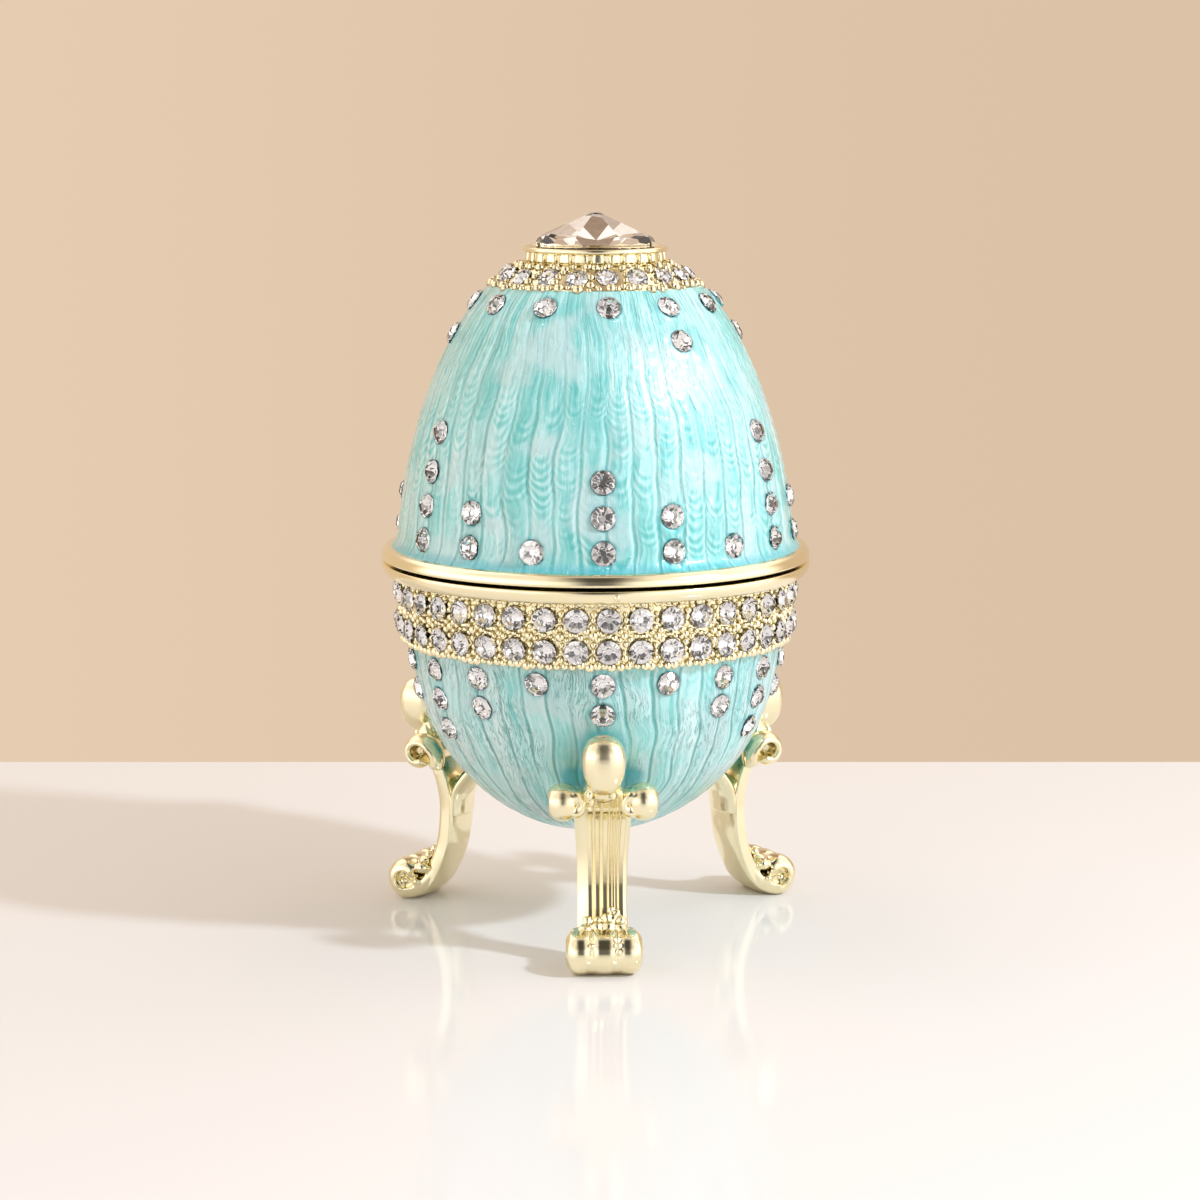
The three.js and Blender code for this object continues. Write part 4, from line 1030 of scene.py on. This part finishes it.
def make_leg():
    strap_path = smooth_path(
        7,
        (BUD_REACH - 0.75, 17.7),
        (BUD_REACH - 1.75, 16.3),
        (LEG_ROOT + 0.95, 14.5),
        (LEG_ROOT + 0.2, 12.4),
        (LEG_ROOT - 0.07, 9.7),
        (LEG_ROOT + 0.35, 6.0),
        (LEG_ROOT + 1.75, 2.6),
        (LEG_ROOT + 3.2, 1.05),
        (TOE_REACH - 0.2, 0.8),
    )
    strap = swept("strap", strap_section(), strap_path, STRAP_WIDTHS)
    meet, normal = on_skin(base_radius, BRACKET_MEET, 0.0)
    bracket_path = smooth_path(
        4,
        (LEG_ROOT - 0.55, 9.0),
        (LEG_ROOT - 1.0, 11.6),
        (-meet.y - 0.7 * normal.y, BRACKET_MEET + 0.7 * normal.z),
        (-meet.y - 0.35, BRACKET_MEET + 0.3),
    )
    left, right = -SCROLL_CORE / 2, SCROLL_CORE / 2
    core = [(0.0, left), (SCROLL_CORE_RADIUS, left), (SCROLL_CORE_RADIUS, right), (0.0, right)]
    heart = [(0.0, -2.7), (1.0, -2.7), (1.25, -2.4), (1.25, 2.4), (1.0, 2.7), (0.0, 2.7)]
    belly = [(0.0, -2.2), (1.5, -2.0), (1.72, -1.4), (1.72, 1.4), (1.5, 2.0), (0.0, 2.2)]
    parts = [
        swept("bracket", oval(BRACKET_WIDE, BRACKET_THICK), bracket_path, (1.0, 1.15)),
        across_leg("scroll_core", core, SCROLL_REACH - 0.5, SCROLL_HEIGHT + 0.2),
        across_leg("toe_heart", heart, TOE_REACH, TOE_HEIGHT),
        across_leg("toe_belly", belly, TOE_REACH + 0.1, TOE_HEIGHT - 0.33),
        hooked_toe(),
        *[make(side) for make in (ear, curl) for side in (-1, 1)],
        lump("bud", (0, -BUD_REACH, BUD_HEIGHT), (BUD_RADIUS, BUD_RADIUS, BUD_HALF), 0.1, 2.7),
        lump("stem", (0, -BUD_REACH + 1.3, BUD_HEIGHT - 2.4), (1.5, 1.3, 1.5)),
        lump("neck", (0, -LEG_ROOT - 1.2, BUD_HEIGHT - 0.3), (1.3, 2.4, 1.5)),
    ]
    for knots, reach, height, shape in (
        (TOE_KNOTS, TOE_REACH, TOE_HEIGHT, (1.0, 1.0, 0.85)),
        (BUD_KNOTS, BUD_REACH, BUD_HEIGHT, (0.8, 1.0, 1.2)),
    ):
        for across, back, up, size in knots:
            knot_size = [size * share for share in shape]
            parts.append(lump("knot", (across, back - reach, up + height), knot_size))
    body = join_pieces("leg_body", parts)
    apply_modifier(body, "REMESH", mode="VOXEL", voxel_size=CAST_GRAIN * MM)
    apply_modifier(body, "SMOOTH", factor=0.5, iterations=3)
    ground = {"plane_co": (0, 0, 0), "plane_no": (0, 0, 1), "threshold": 1e-7}
    for part, angle in ((body, 50), (strap, 30)):
        choose(part)
        open_piece()
        bpy.ops.mesh.bisect(use_fill=True, clear_inner=True, **ground)
        close_piece()
        smooth(part, angle)
    return join_pieces("leg_pattern", [body, strap])


cast_gilt = gilt_zinc(
    "cast_gilt_zinc", patch_mm=3.0, dimple_mm=1.1, dimples=0.1, low_haze=0.09, top_haze=0.21
)
leg_pattern = make_leg()
for turn, (name, node) in zip(ring_turns(len(LEG_NAMES)), LEG_NAMES.items()):
    leg = fresh_copy(leg_pattern, Matrix.Rotation(turn, 4, "Z"))
    leg.name = name
    finish_piece(leg, cast_gilt, "base", "gilt_metal", node)
bpy.data.objects.remove(leg_pattern)

# Hinge pin: a plain gilt wire, pushed through the three knuckles.
# It is cut a little longer than they are, and its ends are rounded over.
PIN_RADIUS, PIN_OVERHANG = 0.5, 0.12
pin_length = LID_KNUCKLE + 2 * (BASE_KNUCKLE + KNUCKLE_GAP) + 2 * PIN_OVERHANG
hinge_rod = rod("hinge_rod", PIN_RADIUS, pin_length, (0, HINGE_Y, PARTING), lying=True, sides=24)
round_all(PIN_OVERHANG, 3)
smooth(hinge_rod, 40)
finish_piece(hinge_rod, polished_gilt, "base", "gilt_metal", "hinge_pin")

# Catch magnets: nickel-plated discs of sintered magnet that pull the box shut.
# They are pressed into the bosses at the front of the base and the lid, and stand a hair proud of them.
NICKEL_BRIGHT, NICKEL_DARK = "c9cac8", "8a8c8e"
MAGNET_PROUD = 0.05


def catch_magnet(name, mouth, inward, body, node):
    middle = mouth + inward * (MAGNET_THICKNESS / 2 - MAGNET_PROUD)
    magnet = rod(name, MAGNET_RADIUS, MAGNET_THICKNESS, (0, -MAGNET_REACH, middle))
    round_all(MAGNET_ROUND, 2)
    smooth(magnet, 40)
    finish_piece(magnet, nickel, body, "magnet", node)


nickel = plated(
    "nickel_plate", mark_mm=0.4, detail=3.0, bright=NICKEL_BRIGHT, dull=NICKEL_DARK, roughness=0.3
)
catch_magnet("base_catch", BASE_MOUTH, -1, "base", "base_magnet")

# Lid shell: the upper half of the egg, a thinner gilt casting with a rolled rim of its own.
# Its sloped collar carries a ring of stones, and its flat crown takes the cup of the big stone.
LID_RADIUS, LID_LENGTH = 19.43, 31.07
LID_SHOULDER, LID_CROWN = 1.66, 2.36
LID_WALL, LID_RIM_HEIGHT = 0.9, 1.2
CROWN_SEAT_RADIUS, CROWN_PLATE = 7.4, 1.0
CROWN_DISH_RADIUS, CROWN_DISH = 5.0, 0.75
COLLAR_WIDTH, COLLAR_RISE, COLLAR_LEAN = 2.9, 1.95, math.radians(45)
COLLAR_STONES, COLLAR_STONE_RADIUS, COLLAR_TURN = 18, 1.05, math.radians(6)
COLLAR_SEAT_DEPTH, COLLAR_TUCK, COLLAR_SKIRT = 0.75, 0.15, 0.3
COLLAR_SHIFT, COLLAR_DROP = 0.025, 0.12
LID_MOUTH = PARTING + PARTING_GAP / 2
LID_RIM_TOP = LID_MOUTH + LID_RIM_HEIGHT


def lid_radius(height, depth=0.0):
    """Radius of the upper egg at a height, a depth under its skin."""
    share = np.maximum(0.0, np.asarray(height, float) - PARTING) / (LID_LENGTH - depth)
    return (LID_RADIUS - depth) * np.maximum(0.0, 1 - share**LID_SHOULDER) ** (1 / LID_CROWN)


COLLAR_RADIUS = CROWN_SEAT_RADIUS + COLLAR_WIDTH
collar_turn_in = 1 - (COLLAR_RADIUS / LID_RADIUS) ** LID_CROWN
COLLAR_HEIGHT = PARTING + LID_LENGTH * collar_turn_in ** (1 / LID_SHOULDER)
CROWN_SEAT = COLLAR_HEIGHT + COLLAR_RISE
collar_foot = COLLAR_RADIUS - COLLAR_TUCK


def collar_radius(height):
    """The collar's straight slope from its foot up to the crown seat."""
    return collar_foot + (CROWN_SEAT_RADIUS - collar_foot) * (height - COLLAR_HEIGHT) / COLLAR_RISE


collar_middle = COLLAR_HEIGHT + COLLAR_RISE * 0.5
collar_turns = ring_turns(COLLAR_STONES, COLLAR_TURN)
collar_seats = []
for turn in collar_turns:
    out = Vector((math.sin(turn), -math.cos(turn), 0))
    shift, drop = give_or_take(COLLAR_SHIFT), give_or_take(COLLAR_DROP)
    point = on_skin(collar_radius, collar_middle + drop, turn + shift)[0]
    collar_seats.append((point, out * math.cos(COLLAR_LEAN) + Vector((0, 0, math.sin(COLLAR_LEAN)))))
ceiling = CROWN_SEAT - CROWN_PLATE
rim_edge = LID_MOUTH + RIM_SHARP
shell_profile = (
    [(0.0, ceiling)]
    + along(lid_radius, graded(LID_MOUTH, ceiling, 22)[::-1], CASTING_DEPTH + LID_WALL)
    + arc(RIM_RADIUS - RIM_SHARP, rim_edge, RIM_SHARP, RIM_SHARP, -90, 0, 5)
    + arc(RIM_RADIUS - RIM_SOFT, rim_edge, RIM_SOFT, LID_RIM_HEIGHT - RIM_SHARP, 0, 90, 10)[1:]
    + along(lid_radius, graded(LID_RIM_TOP, COLLAR_HEIGHT - COLLAR_SKIRT, 10), CASTING_DEPTH)
    + [(collar_foot, COLLAR_HEIGHT - COLLAR_SKIRT)]
    + along(collar_radius, np.linspace(COLLAR_HEIGHT, CROWN_SEAT, 9))
    + [(CROWN_DISH_RADIUS, CROWN_SEAT), (0.0, CROWN_SEAT - CROWN_DISH)]
)
lid_shell = turned("lid_shell", shell_profile, 180, halvings=1)
sink_seats(lid_shell, collar_seats, COLLAR_STONE_RADIUS, COLLAR_SEAT_DEPTH)
lid_knuckle = knuckle("lid_knuckle", 0.0, LID_KNUCKLE, LID_MOUTH, LID_RIM_TOP)
lid_boss = magnet_boss("lid_boss", LID_RADIUS - CASTING_DEPTH - LID_WALL, LID_MOUTH, 1)
lid_shell = join_pieces("lid_shell", [lid_shell, lid_knuckle, lid_boss])
smooth(lid_shell, 40)
finish_piece(lid_shell, polished_gilt, "lid", "gilt_metal", "lid_casting")
catch_magnet("lid_catch", LID_MOUTH, 1, "lid", "lid_magnet")

# Lid enamel: the same pearl enamel on the upper egg, where the flutes stand wider and the loops show best.
# It swells out to a thick edge over the rim and fills up to the collar.
LID_FLUTES = 48
LID_FLARE, LID_FLARE_HEIGHT = 0.62, 1.5
RIM_LAP, COLLAR_GAP = 0.06, 0.05
LID_ROW_RISES = (3.1, 6.35, 9.6, 13.25)
LID_DROP_COUNTS = (3, 2, 1, 4, 2, 1, 3, 2, 1, 4, 2, 1, 3, 2, 0, 4, 2, 1)
SHOULDER_ROWS, SHOULDER_TURN = (1.55, 4.65), math.radians(4)
SHOULDER_COUNTS = (1, 2, 1, 2, 1, 2, 1, 2, 1, 2, 1, 1)


def lid_skin(height):
    """The lid's outer skin, with the thick edge over the rim."""
    flare = np.clip(1 - (np.asarray(height, float) - LID_RIM_TOP) / LID_FLARE_HEIGHT, 0, 1.05)
    return lid_radius(height) + LID_FLARE * flare**2


lid_drops = columns(lid_skin, [PARTING + rise for rise in LID_ROW_RISES], LID_DROP_COUNTS)
shoulder_heights = [COLLAR_HEIGHT - drop for drop in SHOULDER_ROWS]
shoulder_seats = sum(columns(lid_skin, shoulder_heights, SHOULDER_COUNTS, SHOULDER_TURN), [])
lid_foot, lid_top = LID_RIM_TOP - RIM_LAP, COLLAR_HEIGHT - COLLAR_GAP
lid_profile = along(lid_skin, graded(lid_foot, lid_top, 30))
lid_profile += along(lid_radius, graded(lid_foot, lid_top, 8)[::-1], ENAMEL_THICKNESS)
lid_glaze = turned("lid_glaze", lid_profile + lid_profile[:1], 108, halvings=2)
flute_relief(
    lid_glaze,
    lid_skin,
    lambda level: lid_radius(level, ENAMEL_THICKNESS / 2),
    sum(lid_drops, []) + shoulder_seats,
    [],
    LID_FLUTES,
    (lid_foot, lid_top),
    loop_share=1.0,
)
smooth(lid_glaze, 60)
lid_pearl = pearl_enamel(
    "lid_pearl_enamel",
    pearl_share=0.4,
    loop_share=0.18,
    line_share=0.6,
    strand_share=0.25,
    streak_mm=6.5,
    comb_heights=(48.0, 59.0),
)
finish_piece(lid_glaze, lid_pearl, "lid", "enamel", "lid_enamel")

# Lid stones: columns of one to four chatons that rise from the rim, and a garland under the collar.
# They are glued into seats in the enamel. One column is missing on the left, as in the photograph.
for number, seats in enumerate(lid_drops, 1):
    if seats:
        set_stones("lid_column_%02d" % number, seats, DROP_STONE_RADIUS, "lid", "lid_drop_%02d" % number)
set_stones("shoulder_crystals", shoulder_seats, DROP_STONE_RADIUS, "lid", "lid_shoulder_stones")

# Collar: a ring of chatons on the gilt slope round the crown, glued into seats drilled in it.
# Round grains crowd between them, cast and gilt with the shell, and dark at their roots with painted shade.
COLLAR_GRAIN, COLLAR_STRAY = 0.4, (0.09 * COLLAR_RISE, 0.05, 0.65, 1.3)
# A ring of grains: how many to a stone, how far up the slope and the size.
EDGE_GRAINS = ((4, 0.04, COLLAR_GRAIN * 1.15), (3, 0.97, COLLAR_GRAIN))
# Grains between two stones and at both sides of each: how far up and aside, and the size.
GAP_GRAINS = ((0.24, 0.4), (0.5, 0.34), (0.74, 0.36))
SIDE_GRAINS = ((0.86, 0.2, 0.28), (0.12, 0.28, 0.28))
set_stones("collar_crystals", collar_seats, COLLAR_STONE_RADIUS, "lid", "collar_stones")


def collar_place(share, turn, size):
    return grain_place(collar_radius, COLLAR_HEIGHT + COLLAR_RISE * share, turn, size, COLLAR_STRAY)


collar_pitch = 2 * math.pi / COLLAR_STONES
collar_places = []
for turn in collar_turns:
    for count, share, size in EDGE_GRAINS:
        for number in range(count):
            collar_places.append(collar_place(share, turn + collar_pitch * (number + 0.5) / count, size))
    for share, size in GAP_GRAINS:
        collar_places.append(collar_place(share, turn + collar_pitch / 2, size))
    for side in (-1, 1):
        for share, aside, size in SIDE_GRAINS:
            collar_places.append(collar_place(share, turn + side * collar_pitch * aside, size))
collar_grains = set_copies("collar_grains", grain, collar_places)
collar_gilt = gilt_zinc(
    "gilt_collar_grains",
    patch_mm=2.0,
    dimple_mm=0.8,
    dimples=0.08,
    low_haze=0.12,
    top_haze=0.12,
    # Painted shade round the roots of the collar's grains.
    root_shade_share=0.9,
)
finish_piece(collar_grains, collar_gilt, "lid", "gilt_metal")

# Gem cup: a gilt ring pressed with a row of arched panels and fixed on the flat crown.
# Its lip is rolled over to hold the big stone.
CUP_FOOT = CROWN_SEAT + 0.02
CUP_RADIUS, CUP_LIP_RADIUS, CUP_BORE, CUP_FLANGE = 6.45, 7.05, 5.85, 4.9
CUP_HEIGHT, CUP_LIP, CUP_NECK, CUP_FLOOR, CUP_STEP = 1.68, 0.26, 0.1, 0.3, 0.5
CUP_PANELS, PANEL_LEAN, PANEL_OUT, PANEL_UP = 26, math.radians(86), 0.04, 0.08
PANEL_WIDTH, PANEL_HEIGHT, PANEL_RISE = 1.4, 1.3, 0.34
PANEL_POINTS, PANEL_ARCH, PANEL_FOOT = 24, (0.65, 0.75), (0.45, 0.4)
cup_top = CUP_FOOT + CUP_HEIGHT
cup_profile = (
    [(CUP_FLANGE, CUP_FOOT), (CUP_RADIUS, CUP_FOOT)]
    + [(CUP_RADIUS + CUP_NECK, cup_top - 2 * CUP_LIP - CUP_NECK)]
    + arc(CUP_LIP_RADIUS - CUP_LIP, cup_top - CUP_LIP, CUP_LIP, CUP_LIP, -75, 180, 14)
    + [(CUP_BORE, cup_top - CUP_STEP), (CUP_BORE, CUP_FOOT + CUP_FLOOR), (CUP_FLANGE, CUP_FOOT + CUP_FLOOR)]
)
cup = turned("cup_ring", cup_profile + cup_profile[:1], 160)
panel = start_piece(
    "cup_panel", bpy.ops.mesh.primitive_circle_add, vertices=PANEL_POINTS, radius=1.0, fill_type="NGON"
)
close_piece()
panel_outline = []
for turn in ring_turns(PANEL_POINTS):
    aside, up = math.cos(turn), math.sin(turn)
    wide, tall = PANEL_ARCH if up > 0 else PANEL_FOOT
    squared = math.copysign(abs(aside) ** wide, aside)
    arched = math.copysign(abs(up) ** tall, up)
    panel_outline.append((PANEL_WIDTH / 2 * squared, PANEL_HEIGHT / 2 * arched, 0.0))
move_points(panel, np.array(panel_outline))
open_piece()
for lift, scale in ((0.6, 0.97), (0.3, 0.8), (0.1, 0.6)):
    bpy.ops.mesh.extrude_region_move(TRANSFORM_OT_translate={"value": (0, 0, lift * PANEL_RISE * MM)})
    bpy.ops.transform.resize(value=(scale, scale, 1))
weld(0.0005, fill=True)
panel_place = Vector((0, -CUP_RADIUS - PANEL_OUT, CUP_FOOT + PANEL_UP + PANEL_HEIGHT / 2)) * MM
panels = []
for turn in ring_turns(CUP_PANELS):
    uneven = Matrix.Diagonal((draw.uniform(0.82, 1.08), draw.uniform(0.88, 1.06), 1, 1))
    out = Matrix.Rotation(turn, 4, "Z") @ Matrix.Translation(panel_place)
    panels.append(fresh_copy(panel, out @ Matrix.Rotation(PANEL_LEAN, 4, "X") @ uneven))
bpy.data.objects.remove(panel)
gem_cup = join_pieces("gem_cup", [cup, *panels])
smooth(gem_cup, 50)
finish_piece(gem_cup, grain_gilt, "lid", "gilt_metal", "crown_bezel")

# Crown stone: one large pointed stone of warm clear crystal, silvered on its flat back.
# Long facets run from a tiny table to the girdle, with a ring of steeper ones round the edge.
GEM_RADIUS, GEM_TABLE, GEM_MAINS = 5.75, 0.42, 8
GEM_SEAT, GEM_EDGE, GEM_EDGE_RISE, GEM_BACK_DEPTH = 0.27, 0.985, 0.03, 0.1
GEM_GIRDLE, GEM_TIP = cup_top + GEM_SEAT, cad_high.z / MM
GEM_MAIN_ANGLE, GEM_EDGE_ANGLE, GEM_BACK_ANGLE = 25, 55, 20
GEM_CLEAR, GEM_WARM = "fffdfb", "fcf1e8"
crown_stone = start_piece(
    "crown_stone", bpy.ops.mesh.primitive_cylinder_add, vertices=32, radius=1.0, depth=2.0
)
gem_rise = (GEM_TIP - GEM_GIRDLE) / GEM_RADIUS
for facets in (
    (0, 1, 0, 0, gem_rise),
    (GEM_MAIN_ANGLE, GEM_MAINS, 0, GEM_TABLE / GEM_RADIUS, gem_rise),
    (GEM_EDGE_ANGLE, 2 * GEM_MAINS, math.pi / GEM_MAINS / 2, GEM_EDGE, GEM_EDGE_RISE),
    (180 - GEM_BACK_ANGLE, GEM_MAINS, 0, 1.0, GEM_BACK_DEPTH),
):
    cut_facets(*facets)
close_piece()
gem_place = Matrix.Translation(Vector((0, 0, GEM_GIRDLE)) * MM) @ Matrix.Scale(GEM_RADIUS * MM, 4)
crown_stone.data.transform(gem_place)
gem_glass = crystal_glass("warm_crystal", GEM_CLEAR, GEM_WARM, 1.54)
finish_piece(crown_stone, gem_glass, "lid", "gem", "crown_gem")
crown_stone.data.materials.append(foil)
silver_back(crown_stone, -0.5)
bpy.data.objects.remove(chaton)
bpy.data.objects.remove(grain)

# Studio: a glossy pale table, warm light all round that darkens towards the camera, and one soft key
# light from the right that throws the shadow to the left.
TABLE_WIDE, TABLE_FRONT, TABLE_BACK = 1200.0, -600.0, 72.0
TABLE_PALE, TABLE_WARM = "e6e3e1", "e4dfdc"
WALL_LEFT, WALL_RIGHT = "e6cdb2", "dcc3a8"
SKY_WHITE, GAP_TONE, ROOM_SIDE = "f3eae2", "b39a84", "f2efed"
ROOM_FILL, BOX_FILL, HAIR_FILL = 1.0, 0.2, 0.6
CAMERA_DARK, CAMERA_DIM, CAMERA_DIM_WIDTH = 0.12, 0.7, 0.7
KEY_PLACE, KEY_AIM = Vector((320.0, -185.0, 300.0)), Vector((0.0, 0.0, 38.0))
KEY_SIZE, KEY_POWER, KEY_COLOUR = 38.0, 1.5, "e0efff"
table = start_piece("table", bpy.ops.mesh.primitive_plane_add, size=1)
bpy.ops.transform.resize(value=Vector((TABLE_WIDE, TABLE_BACK - TABLE_FRONT, 1)) * MM)
bpy.ops.transform.translate(value=Vector((0, (TABLE_BACK + TABLE_FRONT) / 2, 0)) * MM)
close_piece()
table.data.transform(Matrix.Rotation(CAMERA_TURN, 4, "Z"))
table_steps = (
    ("sheen", "noise", "place", 1 / (120 * MM)),
    ("tone", "tint", "sheen", linear(TABLE_PALE), linear(TABLE_WARM)),
)
table_finish = {"Base Color": "tone", "Roughness": 0.1, "Specular IOR Level": 0.18}
table.data.materials.append(new_material("glazed_table", table_steps, table_finish))

key = bpy.data.objects.new("key_light", bpy.data.lights.new("key_light", "AREA"))
key.data.shape = "DISK"
key.data.size = KEY_SIZE * MM
key.data.energy = KEY_POWER
key.data.color = linear(KEY_COLOUR)[:3]
key.location = KEY_PLACE * MM
key.rotation_mode = "QUATERNION"
key.rotation_quaternion = (KEY_AIM - KEY_PLACE).to_track_quat("-Z", "Y")
bpy.context.scene.collection.objects.link(key)

world = bpy.data.worlds.new("studio")
bpy.context.scene.world = world
world.use_nodes = True
studio_steps = (
    ("way", "direction"),
    ("across", "x of", "way"),
    ("back", "y of", "way"),
    ("up", "z of", "way"),
    ("seen", "camera ray"),
    # The wall behind, low down, and how far a direction turns from it.
    ("rightward", "ease", "across", -0.2, 0.2),
    ("behind", "ease", "back", 0.15, 0.5),
    ("low", "ease", "up", 0.3, 0.6, 1.0, 0.0),
    ("wall", "MULTIPLY", "behind", "low"),
    ("rise", "ease", "up", 0.12, 0.6),
    # Two wide soft boxes overhead, left and right, with a plain gap between them that runs to the back.
    ("aside", "ABSOLUTE", "across"),
    ("boxed", "ease", "aside", 0.16, 0.36),
    ("lifted", "ease", "up", 0.35, 0.6),
    ("boxes", "MULTIPLY", "boxed", "lifted"),
    ("unboxed", "SUBTRACT", "lifted", "boxes"),
    ("backward", "ease", "back", -0.1, 0.15),
    ("gap", "MULTIPLY", "unboxed", "backward"),
    # Pale room to the sides, and the dark of the room round and over the camera.
    ("sides", "range", "behind", 0.0, 1.0, ROOM_FILL, 0.0),
    ("room", "MULTIPLY_ADD", "sides", "low", 1.0),
    ("hair", "MULTIPLY", "boxes", "backward"),
    ("boxed_room", "MULTIPLY_ADD", "boxes", BOX_FILL, "room"),
    ("fill", "MULTIPLY_ADD", "hair", HAIR_FILL, "boxed_room"),
    ("strip", "ease", "aside", 0.08, 0.36, 1.0, 0.0),
    ("frontal", "ease", "back", -0.4, -0.02, 1.0, 0.0),
    ("dark", "MULTIPLY", "strip", "frontal"),
    ("open", "range", "dark", 0.0, 1.0, 1.0, CAMERA_DARK),
    ("wide", "MULTIPLY_ADD", "back", CAMERA_DIM_WIDTH, "aside"),
    ("dim", "ease", "wide", -0.25, 0.05, CAMERA_DIM),
    ("shaded", "MULTIPLY", "open", "dim"),
    ("glow", "MULTIPLY", "fill", "shaded"),
    # The camera itself sees the plain wall all round.
    ("strength", "range", "seen", 0.0, 1.0, "glow", 1.0),
    ("wall_tone", "tint", "rightward", linear(WALL_LEFT), linear(WALL_RIGHT)),
    ("white_sky", "tint", "rise", linear(ROOM_SIDE), linear(SKY_WHITE)),
    ("walled_sky", "tint", "wall", "white_sky", "wall_tone"),
    ("gapped_sky", "tint", "gap", "walled_sky", linear(GAP_TONE)),
    ("sky", "tint", "seen", "gapped_sky", "wall_tone"),
)
known = add_steps(world.node_tree, studio_steps)
background = world.node_tree.nodes["Background"]
fill_sockets(world.node_tree, background, {"Color": "sky", "Strength": "strength"}, known)
bpy.context.scene.view_settings.view_transform = "Standard"
